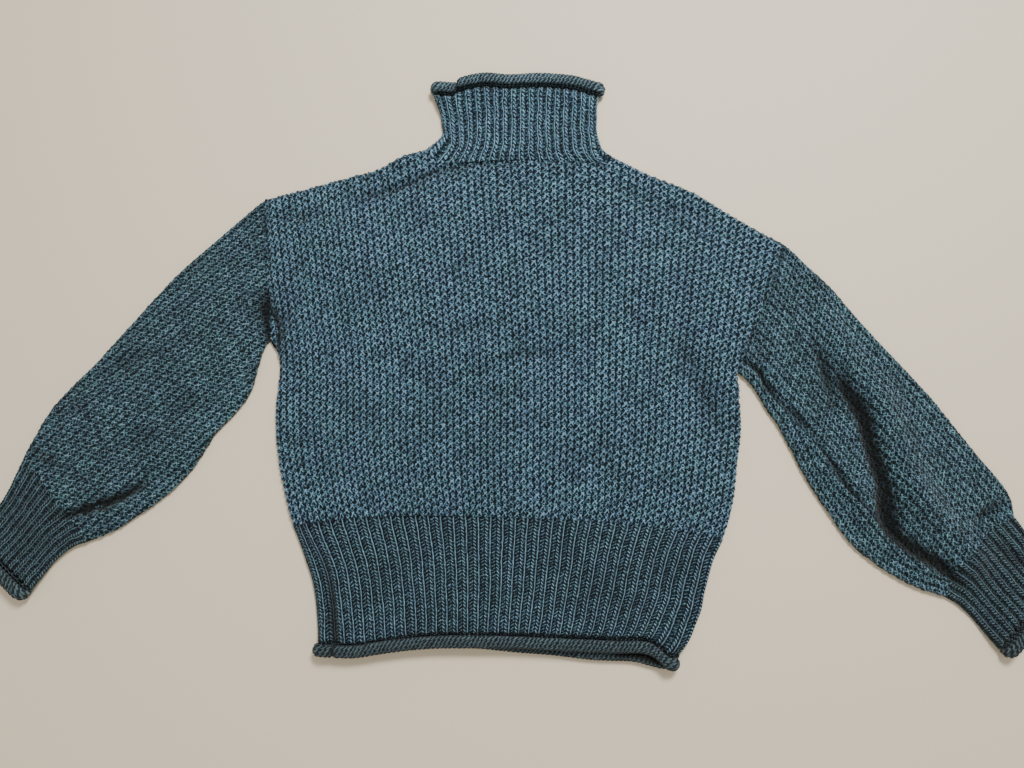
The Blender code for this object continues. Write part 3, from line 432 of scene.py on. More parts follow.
# ======== body
def edge_x(side, shoulder, y):
    """x of a panel's edge: the side fold, then the straight armhole seam carried on upwards."""
    line = smooth_curve(side)
    low = np.interp(y, line[:, 1], line[:, 0])
    (x0, y0), (x1, y1) = side[-1], shoulder
    return np.where(y > y0, x0 + (y - y0) * (x1 - x0) / (y1 - y0), low)


def fold_round(reach):
    """How far in plan a point lies from a fold, for its distance measured over the fold."""
    s = reach * (1 + QUARTER_EXTRA * FOLD_RADIUS / FOLD_REACH)
    round_part = FOLD_RADIUS * (1 - np.cos(np.minimum(s / FOLD_RADIUS, math.pi / 2)))
    inner = round_part + np.maximum(s - FOLD_RADIUS * math.pi / 2, 0)
    return np.where(reach < FOLD_REACH, inner, reach)


def plain_edges(y):
    """x of both edges if they went straight up from the side folds."""
    left = edge_x(LEFT_SIDE[:4] + ((-PLAIN_LEFT, 0.285),), (-PLAIN_LEFT, 0.4), y)
    return left, edge_x(RIGHT_SIDE[:5], (PLAIN_RIGHT, 0.4), y)


def body_xy(u, y):
    """Columns fan out from the ribbing; near the armholes they lean with the seams."""
    left, right = edge_x(LEFT_SIDE, LEFT_SHOULDER, y), edge_x(RIGHT_SIDE, RIGHT_SHOULDER, y)
    left_plain, right_plain = plain_edges(y)
    width = right_plain - left_plain
    folded = 1 - smooth((y - FOLD_END) / FOLD_FADE)
    reach = np.minimum(u, 1 - u) * width
    inner = fold_round(reach) * folded + reach * (1 - folded)
    u = np.where(u < 0.5, inner / width, 1 - inner / width)
    x = left_plain + u * width
    return x + (1 - u) ** 4 * (left - left_plain) + u**4 * (right - right_plain)


def rib_top_y(u):
    left, right = LEFT_SIDE[0][1], RIGHT_SIDE[0][1]
    return left + u * (right - left) + RIB_BOW * arch(u)


def top_y(x):
    """The shoulder seams and the neck seam between them."""
    slopes = np.array(LEFT_SLOPE + RIGHT_SLOPE)
    in_neck = (x > NECK_LINE[0][0]) & (x < NECK_LINE[-1][0])
    return np.where(in_neck, by_x(NECK_LINE, x), np.interp(x, slopes[:, 0], slopes[:, 1]))


def body_stitch(x, y):
    """Column and row of knitting at a point of the body. The armhole seams cut the outer columns."""
    left, right = plain_edges(y)
    over = y - LEAN_FROM
    rise = (over + np.sqrt(over**2 + LEAN_SOFT**2)) / 2
    u = (x - left) / (right - left)
    for _ in range(8):
        lean = COLUMN_LEAN[0] + COLUMN_LEAN[1] * u + COLUMN_LEAN[2] * u**2
        u = (x - lean * rise - left) / (right - left)
    across = np.where(x < TILT_TURN, x, (1 + TILT_BACK) * TILT_TURN - TILT_BACK * x)
    tilt = ROW_TILT * smooth((y - TILT_FROM) / TILT_OVER) * across
    c = BODY_STITCHES * u + 0.10 * waves(x, y, 0.045, 1.0) + 0.08 * waves(x, y, 0.016, 1.5)
    r = (y - rib_top_y(u) - tilt) / BODY_ROW + 0.14 * waves(x, y, 0.060, 2.0) + 0.13 * waves(x, y, 0.017, 2.5)
    return np.dstack([c, r])


def body_grid(per_column, per_row):
    """Plan points, stitch coordinates and each column's last row."""
    columns = BODY_STITCHES * per_column + 1
    u = np.linspace(0, 1, columns)
    start = rib_top_y(u)
    last = np.full(columns, 0.5)
    for _ in range(30):
        last = top_y(body_xy(u, last))
    lines = (last - start) / BODY_ROW * per_row
    rows = int(np.ceil(lines.max())) + 1
    keep = np.ceil(lines - 1e-6).astype(int)
    y = start + np.minimum(np.arange(rows)[:, None], lines[None]) / per_row * BODY_ROW
    x = body_xy(np.broadcast_to(u, y.shape), y)
    return x, y, body_stitch(x, y), keep


def fold_rise(x, y, *lines):
    """Share of the full height at points near the folds: 0 on a fold, 1 beyond its radius."""
    near = np.full(x.shape, np.inf)
    for line in lines:
        near = np.minimum(near, distance_to(line, x, y))
    t = np.clip(near / FOLD_RADIUS, 0.0, 1.0)
    return np.sqrt(1 - (1 - t) ** 2)


def body_rise(x, y):
    return fold_rise(x, y, smooth_curve(LEFT_SIDE, 6), smooth_curve(RIGHT_SIDE, 6), LEFT_SLOPE, RIGHT_SLOPE)


def make_body():
    x, y, stitch, keep = body_grid(4, 3)
    full = body_rise(x, y)
    seams = ((LEFT_SIDE[-1], LEFT_SHOULDER), (RIGHT_SIDE[-1], RIGHT_SHOULDER))
    fade = smooth(distance_to(LEFT_SIDE + LEFT_SLOPE, x, y) / FOLD_MARGIN)
    fade = fade * smooth(distance_to(RIGHT_SLOPE + RIGHT_SIDE[::-1], x, y) / FOLD_MARGIN)
    lift = fold_height(BODY_FOLDS, x, y) * fade + 0.0005 * waves(x, y, 0.16, 5.0) * fade
    dip = sum(SEAM_DIP * np.exp(-(distance_to(line, x, y) / SEAM_WIDE) ** 2) for line in seams)
    dip += 0.0014 * np.exp(-((top_y(x) - y) / 0.004) ** 2)
    across = (x - LEFT_SIDE[0][0]) / (RIGHT_SIDE[0][0] - LEFT_SIDE[0][0])
    dip += 0.0010 * np.exp(-((y - rib_top_y(across)) / 0.003) ** 2)
    dip += crease_depth(BODY_CREASES, x, y)
    z = FOLD_RADIUS + (FOLD_RADIUS + lift - dip) * full
    # dip / FULL_SHADE_DEPTH is painted shade: the yarn is darker in the creases, along the armhole seams,
    # below the shoulder and neck seams and above the ribbing, the deeper the dip
    front = make_sheet("front_body_knit", np.dstack([x, y, z]), stitch, MOSS, RELIEF_FRONT,
                       keep, dip / FULL_SHADE_DEPTH, TOP_LEVEL)

    x, y, stitch, keep = body_grid(3, 2)
    z = FOLD_RADIUS * (1 - body_rise(x, y))
    back = make_sheet("back_body_knit", facing(np.dstack([x, y, z]), True), facing(stitch, True),
                      MOSS, RELIEF_BACK, keep[::-1])
    return front, back


# ======== hem
def front_roll_height(x):
    apart = (by_x(FRONT_ROLL, x) - by_x(BACK_ROLL, x)) / (2 * ROLL_WIDE + GAP)
    stacked = ROLL_HIGH + STACK * np.sqrt(np.clip(1 - 0.5 * apart**2, 0, 1))
    return np.maximum(stacked, WALL + MOUTH_RISE + AIR + ROLL_HIGH)


def hem_grid(roll, per_rib, per_line, seam):
    """Ribs between the left fold, or the seam beside it, and the right fold. Those near either
    edge bend with it."""
    v = np.linspace(0, 1, HEM_LINES * per_line + 1)
    u = np.linspace(0, 1, HEM_RIBS * per_rib + 1)
    fold, right = at_share(smooth_curve(LEFT_HEM_SIDE), v), at_share(smooth_curve(RIGHT_HEM_SIDE), v)
    left = at_share(smooth_curve(seam), v) if seam else fold.copy()
    near_left = u * HEM_WIDE if seam else fold_round(u * HEM_WIDE)
    inner = np.where(u < 0.5, near_left, HEM_WIDE - fold_round((1 - u) * HEM_WIDE)) / HEM_WIDE
    x = left[0, 0] + inner * (right[0, 0] - left[0, 0])
    bottom = np.stack([x, by_x(roll, x) + ROLL_WIDE * 0.8], axis=1)
    share = (left[-1, 0] - LEFT_SIDE[0][0]) / (RIGHT_SIDE[0][0] - LEFT_SIDE[0][0])
    across = share + u * (1 - share)
    y = rib_top_y(across)
    top = np.stack([body_xy(across, y), y], axis=1)
    left[0], right[0], left[-1], right[-1] = bottom[0], bottom[-1], top[0], top[-1]
    near, far = (1 - inner)[None, :, None] ** 4, inner[None, :, None] ** 4
    straight = bottom[None] + v[:, None, None] * (top - bottom)[None]
    plan = straight + near * (left[:, None] - straight[:, :1]) + far * (right[:, None] - straight[:, -1:])
    c = u * HEM_RIBS
    if seam:
        strip = np.linspace(0, 1, EDGE_RIBS * per_rib + 1)[:-1]
        turned = fold_round(strip * EDGE_STRIP) / EDGE_STRIP
        fold[0, 1], fold[-1] = bottom[0, 1], (LEFT_SIDE[0][0], LEFT_SIDE[0][1])
        edge = fold[:, None] + turned[None, :, None] * (plan[:, :1] - fold[:, None])
        plan = np.concatenate([edge, plan], axis=1)
        c = np.concatenate([(strip - 1) * EDGE_RIBS, c])
    c, r = np.meshgrid(c, v * HEM_LINES)
    x, y = plan[..., 0], plan[..., 1]
    stitch = np.dstack([c + 0.06 * waves(x, y, 0.05, 3.0), r + 0.20 * waves(x, y, 0.05, 4.0)])
    return plan, stitch, v


def hem_rise(plan):
    sides = smooth_curve(LEFT_HEM_SIDE, 8), smooth_curve(RIGHT_HEM_SIDE, 8)
    return fold_rise(plan[..., 0], plan[..., 1], *sides)


def make_hem():
    plan, stitch, v = hem_grid(FRONT_ROLL, 7, 3, FRONT_SEAM)
    x, y = plan[..., 0], plan[..., 1]
    full = hem_rise(plan)
    climb = smooth(1 - v * HEM_DEEP / MOUTH_DEPTH)[:, None]
    end = front_roll_height(plan[0, :, 0]) - ROLL_HIGH + WALL - SIDE_HEIGHT
    dip = 0.0060 * np.exp(-(distance_to(smooth_curve(FRONT_SEAM, 8), x, y) / 0.0034) ** 2)
    dip *= smooth(1.15 - v)[:, None]
    dip += 0.0014 * smooth((v - 0.95) / 0.05)[:, None]
    dip += MEETING_DIP * np.exp(-(v * HEM_DEEP / MEETING_WIDE) ** 2)[:, None]
    lift = climb * end[None] - dip + 0.0006 * waves(x, y, 0.12, 6.0)
    z = FOLD_RADIUS + (FOLD_RADIUS + lift) * full
    # dip / FULL_SHADE_DEPTH is painted shade: darker in the seam's groove, along the ribbing's top and, as a
    # painted shadow, under the curl where the ribbing meets it
    front = make_sheet("front_hem_knit", np.dstack([plan, z]), stitch, RIB, RELIEF_RIB,
                       deep=dip / FULL_SHADE_DEPTH, level=TOP_LEVEL)

    plan, stitch, v = hem_grid(BACK_ROLL, 6, 2, None)
    full = hem_rise(plan)
    climb = smooth(1 - v * HEM_DEEP / MOUTH_DEPTH)[:, None]
    z = FOLD_RADIUS * (1 - full) + climb * MOUTH_RISE * full
    back = make_sheet("back_hem_knit", facing(np.dstack([plan, z]), True), facing(stitch, True),
                      RIB, RELIEF_BACK)
    return front, back


# ======== flattened tubes
def ring_places(width, around, seam_at):
    """Points round a flattened ring: distance from the upper fold, level from 1 on the top to -1 on
    the bottom, and distance round it from the seam, which lies seam_at inside the lower fold."""
    quarter = math.pi / 2 * FOLD_RADIUS
    flat = width - 2 * FOLD_RADIUS
    total = 2 * flat + 4 * quarter
    w = np.linspace(0, 1, around) * total + seam_at
    turned = np.mod(w, total)
    knots = np.cumsum([0, quarter, flat, 2 * quarter, flat])
    turn1 = np.clip(turned / FOLD_RADIUS, 0, math.pi / 2)
    turn2 = np.clip((turned - knots[2]) / FOLD_RADIUS, 0, math.pi)
    turn3 = np.clip((turned - knots[4]) / FOLD_RADIUS, 0, math.pi / 2)
    stretch = np.searchsorted(knots[1:], turned, side="right")
    s = np.choose(stretch, [
        width - FOLD_RADIUS * (1 - np.cos(turn1)), width - FOLD_RADIUS - (turned - knots[1]),
        FOLD_RADIUS * (1 - np.sin(turn2)), FOLD_RADIUS + turned - knots[3],
        width - FOLD_RADIUS * (1 - np.sin(turn3))])
    level = np.choose(stretch, [
        np.sin(turn1), np.ones(around), np.cos(turn2), -np.ones(around), -np.cos(turn3)])
    return s, level, w > total


def no_bow(share):
    return np.zeros_like(share)


def arch_bow(height):
    """A row that bends by height between its folds."""
    def bow(share):
        return height * arch(share)
    return bow


def line_bow(table):
    """A row that follows a line from its first to its last point."""
    (x0, y0), (x1, y1) = table[0], table[-1]

    def bow(share):
        return by_x(table, x0 + share * (x1 - x0)) - (y0 + share * (y1 - y0))
    return bow


def tube_grid(table, rows, around, bows, mouth, folds, creases, start_fade=0.0, end_fade=0.0, seam_at=0.0):
    """Rings round a flattened tube, from its seam round to its seam. For each point also its distance
    from the upper fold, its level, how far it lies inside the lower fold beyond the seam, and the
    length of the lower fold up to it."""
    ring_rows = at_share(smooth_curve(table), np.linspace(0, 1, rows))
    middle = (ring_rows[:, :2] + ring_rows[:, 2:]) / 2
    along = np.concatenate([[0.0], np.cumsum(np.linalg.norm(np.diff(middle, axis=0), axis=1))])
    edge = np.concatenate([[0.0], np.cumsum(np.linalg.norm(np.diff(ring_rows[:, 2:], axis=0), axis=1))])
    grid = np.zeros((rows, around, 3))
    deep = np.zeros((rows, around))
    sides = np.zeros((rows, around, 4))
    for i, row in enumerate(ring_rows):
        a, b = row[:2], row[2:]
        width = np.linalg.norm(b - a)
        across = (b - a) / width
        onward = np.array([-across[1], across[0]])
        climb = float(smooth(1 - (along[-1] - along[i]) / MOUTH_DEPTH)) if mouth else 0.0
        top, bottom = SIDE_HEIGHT + climb * mouth, climb * MOUTH_RISE
        s, level, wrapped = ring_places(width, around, seam_at)
        share = along[i] / along[-1]
        bow = (1 - share) * bows[0](s / width) + share * bows[1](s / width)
        plan = a + s[:, None] * across + bow[:, None] * onward
        z = bottom + (top - bottom) / 2 * (1 + level)
        upper = np.clip(level, 0, 1) ** 2
        x, y = plan[:, 0], plan[:, 1]
        fade = smooth(np.minimum(s, width - s) / FOLD_MARGIN)
        if start_fade:
            fade = fade * float(smooth(along[i] / start_fade))
        if end_fade:
            fade = fade * float(smooth((along[-1] - along[i]) / end_fade))
        lift = (fold_height(folds, x, y) + 0.0007 * waves(x, y, 0.11, 7.0)) * fade
        deep[i] = upper * crease_depth(creases, x, y)
        grid[i] = np.column_stack([plan, z + upper * lift - deep[i]])
        sides[i] = np.column_stack([s, level, wrapped * (width - s + 0.001), np.full(around, edge[i])])
    return grid, deep, along, sides


def sleeve_stitch(grid, sides, table, grain, hand):
    """Column and row of knitting on a sleeve: straight columns along the upper fold, cut off by the
    seam under the arm. Beyond the seam the columns run along the lower fold."""
    way = np.array([math.cos(math.radians(grain)), math.sin(math.radians(grain))])
    side = hand * np.array([-way[1], way[0]])
    place = grid[..., :2] - np.array(table[0][:2])
    s, level, beyond, edge = np.moveaxis(sides, -1, 0)
    reach = np.clip(s / FOLD_RADIUS, 0, 1)
    over = FOLD_RADIUS * (np.arccos(1 - reach) - reach)
    c = (place @ side + over) / SLEEVE_COLUMN
    c = np.where(level < 0, -c, np.where(beyond > 0, -beyond / SLEEVE_COLUMN, c))
    r = np.where(beyond > 0, edge, place @ way) / SLEEVE_ROW
    return hand * c, -r


def collar_stitch(grid, sides, rows, lines, along):
    """Rib and line of knitting on the collar, whose ribs stand straight and flare near its folds."""
    (first, last), x = COLLAR_WAIST, grid[..., 0]
    left, right = rows[:, :1] - first, rows[:, 2:3] - last
    u = (x - first) / (last - first)
    for _ in range(12):
        u = (x - first - (1 - u) ** 3 * left - u**3 * right) / (last - first)
    rim = FOLD_RADIUS / (RIB_WIDE * COLLAR_RIBS)
    near = np.clip(np.stack([sides[..., 0], rows[:, 2:3] - rows[:, :1] - sides[..., 0]]) / FOLD_RADIUS, 0, 1)
    over = np.arccos(1 - near) - near - (math.pi / 2 - 1)
    c = (u + rim * (over[0] - over[1])) * COLLAR_RIBS
    return np.where(sides[..., 1] < 0, -c, c), (along / along[-1] * lines)[:, None] + 0 * x


def tube_sheet(name, table, steps, around, stitches, lines, kind, depth, bows=(no_bow, no_bow),
               mouth=0.0, folds=(), creases=(), seam_dip=0.0, flip=False, seed=0.0, grain=None, **places):
    grid, deep, along, sides = tube_grid(table, steps, around, bows, mouth, folds, creases, **places)
    x, y = grid[..., 0], grid[..., 1]
    seam = seam_dip * np.exp(-(along / SEAM_WIDE) ** 2)[:, None] * (sides[..., 1] > 0)
    if mouth:
        meeting = MEETING_DIP * np.exp(-((along[-1] - along) / MEETING_WIDE) ** 2)
        seam = seam + meeting[:, None] * (sides[..., 1] > 0.7)
    grid[..., 2] -= seam
    hand = 1 if flip else -1
    if table is COLLAR:
        rows = at_share(smooth_curve(table), np.linspace(0, 1, steps))
        c, r = collar_stitch(grid, sides, rows, lines, along)
    elif grain is None:
        c, r = np.meshgrid(hand * np.linspace(0, 2 * stitches, around), along / along[-1] * lines)
    else:
        c, r = sleeve_stitch(grid, sides, table, grain, hand)
    c = c + 0.08 * waves(x, y, 0.05, seed) + 0.07 * waves(x, y, 0.016, seed + 0.5)
    r = r + 0.12 * waves(x, y, 0.06, seed + 1) + 0.12 * waves(x, y, 0.017, seed + 1.5)
    # (deep + seam) / FULL_SHADE_DEPTH is painted shade: darker in the creases, at the seam and, as a painted
    # shadow, where the ribbing meets the curl
    return make_sheet(name, facing(grid, not flip), facing(np.dstack([c, r]), not flip), kind, depth,
                      deep=facing((deep + seam) / FULL_SHADE_DEPTH, not flip), level=TOP_LEVEL)


def make_tubes():
    climb = MOUTH_TOP - SIDE_HEIGHT
    sleeve = (SLEEVE_ROWS * 3 + 1, SLEEVE_STITCHES * 8 + 1, SLEEVE_STITCHES, SLEEVE_ROWS, SLEEVE_MOSS,
              RELIEF_SLEEVE)
    cuff = (CUFF_LINES * 3 + 1, CUFF_RIBS * 14 + 1, CUFF_RIBS, CUFF_LINES, COLLAR_RIB, RELIEF_RIB)
    collar = (COLLAR_LINES * 4 + 1, COLLAR_RIBS * 16 + 1, COLLAR_RIBS, COLLAR_LINES, COLLAR_RIB,
              RELIEF_COLLAR)
    left = {"folds": LEFT_FOLDS, "creases": LEFT_CREASES, "flip": True}
    right = {"folds": RIGHT_FOLDS, "creases": RIGHT_CREASES}
    bow = arch_bow(-RIGHT_CUFF_BOW)
    return (
        tube_sheet("sleeve_left_knit", LEFT_SLEEVE, *sleeve, **left, start_fade=0.050,
                   seam_dip=SEAM_DIP, seed=11.0, grain=LEFT_GRAIN),
        tube_sheet("sleeve_right_knit", RIGHT_SLEEVE, *sleeve, **right, bows=(no_bow, bow),
                   start_fade=0.050, seam_dip=SEAM_DIP, seed=13.0, grain=RIGHT_GRAIN, seam_at=0.022),
        tube_sheet("cuff_left_knit", LEFT_CUFF, *cuff, **left, mouth=climb, end_fade=0.060, seed=15.0),
        tube_sheet("cuff_right_knit", RIGHT_CUFF, *cuff, **right, bows=(bow, no_bow), mouth=climb,
                   end_fade=0.060, seed=17.0),
        tube_sheet("collar_knit", COLLAR, *collar, bows=(line_bow(NECK_LINE), line_bow(COLLAR_TOP)),
                   mouth=climb, seam_dip=0.0012, seed=19.0))


# ======== curled edges
def bend(centre, outward, first, last, steps=13):
    angle = np.linspace(first, last, steps)
    out = np.array([outward[0], outward[1], 0.0])
    return [np.array(centre) + TURN_RADIUS * (math.cos(t) * out + np.array([0.0, 0.0, math.sin(t)]))
            for t in angle]


def roll_sheet(name, path, to_rib, hand, closed, seed, mouth=None):
    """Plain knit curled round a path: one turn and a little more, with its end tucked inside.
    Both ends of an open curl are darkened with painted shade, and between the two x of mouth the
    curl is darkened with painted shadow from the opening above it, all but its lower lip."""
    path = np.array(path, float)
    if closed:
        path = np.vstack([path, path[:1]])
    length = np.linalg.norm(np.diff(path, axis=0), axis=1).sum()
    count = int(length / 0.0012)
    path = at_share(path, np.linspace(0, 1, count))
    for _ in range(6):
        path[1:-1] = (path[:-2] + 2 * path[1:-1] + path[2:]) / 4
    tangent = np.gradient(path, axis=0)
    if closed:
        tangent[0] = tangent[-1] = tangent[0] + tangent[-1]
    to_rib = np.array(to_rib, float)
    tangent -= (tangent @ to_rib)[:, None] * to_rib
    tangent /= np.linalg.norm(tangent, axis=1)[:, None]
    outward = hand * np.cross(tangent, to_rib)
    turn = np.radians(np.linspace(CURL_FROM, CURL_TO, CURL_STEPS))
    shrink = 1 - CURL_TUCK * smooth((-np.degrees(turn) + CURL_TO + CURL_TUCK_TURN) / CURL_TUCK_TURN)
    wide, high = ROLL_WIDE * shrink * np.cos(turn), ROLL_HIGH * shrink * np.sin(turn)
    along = np.concatenate([[0.0], np.cumsum(np.linalg.norm(np.diff(path, axis=0), axis=1))])
    swell = 1 + 0.05 * waves(along, along * 0, 0.09, seed)
    points = (path[:, None] + (swell[:, None] * wide)[..., None] * to_rib
              + (swell[:, None] * high)[..., None] * outward[:, None])
    shade = np.zeros(points.shape[:2])
    if not closed:
        for end, share in ((0, 0.35), (1, 0.75), (-1, 0.35), (-2, 0.75)):
            points[end] = path[end] + (points[end] - path[end]) * share
        # painted shade: darker towards both ends of an open curl
        shade += np.exp(-(np.minimum(along, along[-1] - along) / 0.0022) ** 2)[:, None]
    if mouth:
        # painted shadow: the curl above its lower lip is darkened between the two x of mouth
        lip = smooth((points[..., 1] - path[:, None, 1] + 0.0045) / 0.0030)
        x = points[..., 0]
        shade = shade + lip * smooth((x - mouth[0]) / 0.020) * smooth((mouth[1] - x) / 0.010)
    arc = np.concatenate([[0.0], np.cumsum(np.hypot(np.diff(wide), np.diff(high)))])
    line, rib = np.meshgrid(along / ROLL_LINE, arc / ROLL_RIB, indexing="ij")
    stitch = np.dstack([rib + 0.12 * np.sin(line * 0.37 + seed), line + 0.12 * np.sin(line * 0.9 + seed)])
    return make_sheet(name, facing(points, hand < 0), facing(stitch, hand < 0), CURL, RELIEF_CURL,
                      deep=shade)


def make_hem_rolls():
    upper = ROLL_HIGH + STACK
    reach = TURN_RADIUS + ROLL_HIGH
    right_x, left_x = FRONT_ROLL[-1][0] - reach, BACK_ROLL[0][0] - SEAM_BULGE + reach
    x = np.linspace(FRONT_SEAM[0][0], right_x, 90)
    right_y = float(by_x(FRONT_ROLL, x[-1]))
    z = front_roll_height(x)
    front = [(px, py, pz) for px, py, pz in zip(x, by_x(FRONT_ROLL, x), z)][:-1]
    front += bend((right_x, right_y, ROLL_HIGH + TURN_RADIUS), (1, 0), math.pi / 2, -math.pi / 2)
    front_roll = roll_sheet("front_hem_curl", front, (0, 1, 0), 1, False, 21.0)

    x = np.linspace(right_x - SEAM_BULGE / 2, left_x, 90)
    left_y = float(by_x(BACK_ROLL, left_x))
    back = [(px, py, ROLL_HIGH) for px, py in zip(x, by_x(BACK_ROLL, x))][:-1]
    back += bend((left_x, left_y, ROLL_HIGH + TURN_RADIUS), (-1, 0), -math.pi / 2, math.pi / 2)
    back += [(FRONT_SEAM[0][0] - GAP, left_y, upper)]
    # between these x the back curl gets painted shadow from the opening above it
    back_roll = roll_sheet("back_hem_curl", back, (0, 1, 0), 1, False, 22.0, mouth=(0.118, 0.194))
    return front_roll, back_roll


def make_cuff_roll(name, table, hand, seed):
    a, b = np.array(table[-1][:2]), np.array(table[-1][2:])
    across = (b - a) / np.linalg.norm(b - a)
    onward = hand * np.array([-across[1], across[0]])
    reach = TURN_RADIUS + ROLL_HIGH - CUFF_FLARE
    start = a + onward * ROLL_SEAT + across * reach
    stop = b + onward * ROLL_SEAT - across * reach
    lower, upper = ROLL_HIGH, ROLL_HIGH + STACK
    runs = np.linspace(0, 1, 12)
    middle = (start + stop) / 2
    path = [np.append(middle + t * (stop - middle), lower) for t in runs[:-1]]
    path += bend(np.append(stop, lower + TURN_RADIUS), across, -math.pi / 2, math.pi / 2)
    path += [np.append(stop + t * (start - stop), upper) for t in runs[1:-1]]
    path += bend(np.append(start, lower + TURN_RADIUS), -across, math.pi / 2, -math.pi / 2)
    path += [np.append(start + t * (middle - start), lower) for t in runs[1:-1]]
    return roll_sheet(name, path, np.append(-onward, 0.0), hand, True, seed)


def make_collar_roll():
    lower, upper = ROLL_HIGH, ROLL_HIGH + STACK
    ax, bx = COLLAR[-1][0], COLLAR[-1][2]

    def at(x):
        return float(by_x(COLLAR_TOP, x)) + ROLL_SEAT

    reach = TURN_RADIUS + ROLL_HIGH
    first, last = ax + reach - SEAM_BULGE, bx - reach + COLLAR_BULGE
    path = [(x, at(x) - 0.0035 * smooth((x - first - 0.008) / 0.012), upper)
            for x in np.linspace(COLLAR_OVERLAP - GAP, first, 8)[:-1]]
    path += bend((first, at(first), lower + TURN_RADIUS), (-1, 0), math.pi / 2, -math.pi / 2)
    path += [(x, at(x), lower) for x in np.linspace(first, last, 60)[1:-1]]
    path += bend((last, at(last), lower + TURN_RADIUS), (1, 0), -math.pi / 2, math.pi / 2)
    path += [(x, at(x), upper) for x in np.linspace(last, COLLAR_OVERLAP, 60)[1:]]
    return roll_sheet("collar_curl", path, (0, -1, 0), 1, False, 24.0)


# ======== materials
class Nodes:
    """Small helper that adds shader nodes and links them."""

    def __init__(self, name):
        self.material = bpy.data.materials.new(name)
        self.material.use_nodes = True
        self.tree = self.material.node_tree
        self.shader = self.tree.nodes["Principled BSDF"]

    def add(self, kind, *inputs, **settings):
        node = self.tree.nodes.new(kind)
        for key, value in settings.items():
            setattr(node, key, value)
        for socket, value in zip(node.inputs, inputs):
            self.put(socket, value)
        return node

    def put(self, socket, value):
        if isinstance(value, bpy.types.NodeSocket):
            self.tree.links.new(value, socket)
        elif value is not None:
            socket.default_value = value

    def math(self, operation, *inputs):
        return self.add("ShaderNodeMath", *inputs, operation=operation).outputs[0]

    def vector(self, operation, *inputs, out=0, scale=None):
        node = self.add("ShaderNodeVectorMath", *inputs, operation=operation)
        if scale is not None:
            self.put(node.inputs["Scale"], scale)
        return node.outputs[out]

    def sway(self, noise, amount, value):
        """The value, moved by a noise from 0 to 1 about its middle."""
        return self.math("MULTIPLY_ADD", self.math("SUBTRACT", noise, 0.5), amount, value)

    def ease(self, value, low, high, to_low, to_high):
        node = self.tree.nodes.new("ShaderNodeMapRange")
        node.interpolation_type = "SMOOTHSTEP"
        for key, item in zip(("Value", "From Min", "From Max", "To Min", "To Max"),
                             (value, low, high, to_low, to_high)):
            self.put(node.inputs[key], item)
        return node.outputs[0]


def knit_material(name, kind, bump, fuzz, colours):
    """Yarn drawn from its strokes: the yarn's colour on top of each stroke, darkened with painted shade
    down to near black in the pits between them. fuzz is how unevenly its fibres lie."""
    n = Nodes(name)
    parts = n.add("ShaderNodeSeparateXYZ", n.add("ShaderNodeUVMap", uv_map="stitch").outputs[0])
    place = n.add("ShaderNodeTexCoord").outputs["Object"]
    uneven = n.add("ShaderNodeTexNoise", place, None, 210.0, 2.0, 0.6)
    uneven = n.add("ShaderNodeSeparateXYZ", uneven.outputs[1])
    reach = 0.12 + 0.6 * kind.shift      # ribs sway less than moss stitch
    c = n.sway(uneven.outputs[0], reach, parts.outputs[0])
    r = n.sway(uneven.outputs[1], 0.75, parts.outputs[1])
    height, stitch = kind.nodes(n, c, r)
    fibre = n.add("ShaderNodeTexNoise", place, None, 760.0, 2.0, 0.6).outputs[0]
    lump = n.add("ShaderNodeTexNoise", place, None, 400.0, 1.0, 0.5).outputs[0]
    cloud = n.add("ShaderNodeTexNoise", place, None, 14.0, 3.0, 0.6).outputs[0]
    each = n.add("ShaderNodeTexWhiteNoise", stitch, noise_dimensions="2D").outputs[0]
    tone = n.sway(lump, 0.9 * fuzz, n.sway(fibre, 1.3 * fuzz, height))
    # painted shade: the ramp darkens the yarn's colour as the height falls, down to near black in the pits
    ramp = n.add("ShaderNodeValToRGB", tone)
    stops = ramp.color_ramp.elements
    stops[0].position, stops[1].position = colours[0][0], colours[-1][0]
    stops[0].color, stops[1].color = (*colours[0][1], 1), (*colours[-1][1], 1)
    for position, colour in colours[1:-1]:
        stops.new(position).color = (*colour, 1)
    value = n.math("MULTIPLY", n.ease(cloud, 0.3, 0.7, 0.88, 1.12), n.math("MULTIPLY_ADD", each, 0.40, 0.80))
    # painted shade: the attribute made in make_sheet darkens the yarn's colour by up to 92 %
    painted_shade = n.add("ShaderNodeAttribute", attribute_name="painted_shade").outputs["Fac"]
    value = n.math("MULTIPLY", value, n.math("MULTIPLY_ADD", painted_shade, -0.92, 1.0))
    hue = n.ease(n.add("ShaderNodeTexNoise", place, None, 45.0, 2.0, 0.5).outputs[0], 0.3, 0.7, 0.490, 0.510)
    tint = n.add("ShaderNodeHueSaturation", hue, 1.0, value, 1.0, ramp.outputs[0]).outputs[0]
    n.put(n.shader.inputs["Base Color"], tint)
    for socket, number in (("Roughness", 0.95), ("Specular IOR Level", 0.15), ("Sheen Weight", 0.10),
                           ("Sheen Roughness", 0.6)):
        n.shader.inputs[socket].default_value = number
    node = n.add("ShaderNodeBump")
    node.inputs["Strength"].default_value = 1.0
    node.inputs["Distance"].default_value = bump
    n.put(node.inputs["Height"], n.sway(fibre, 0.25, height))
    n.put(n.shader.inputs["Normal"], node.outputs[0])
    return n.material


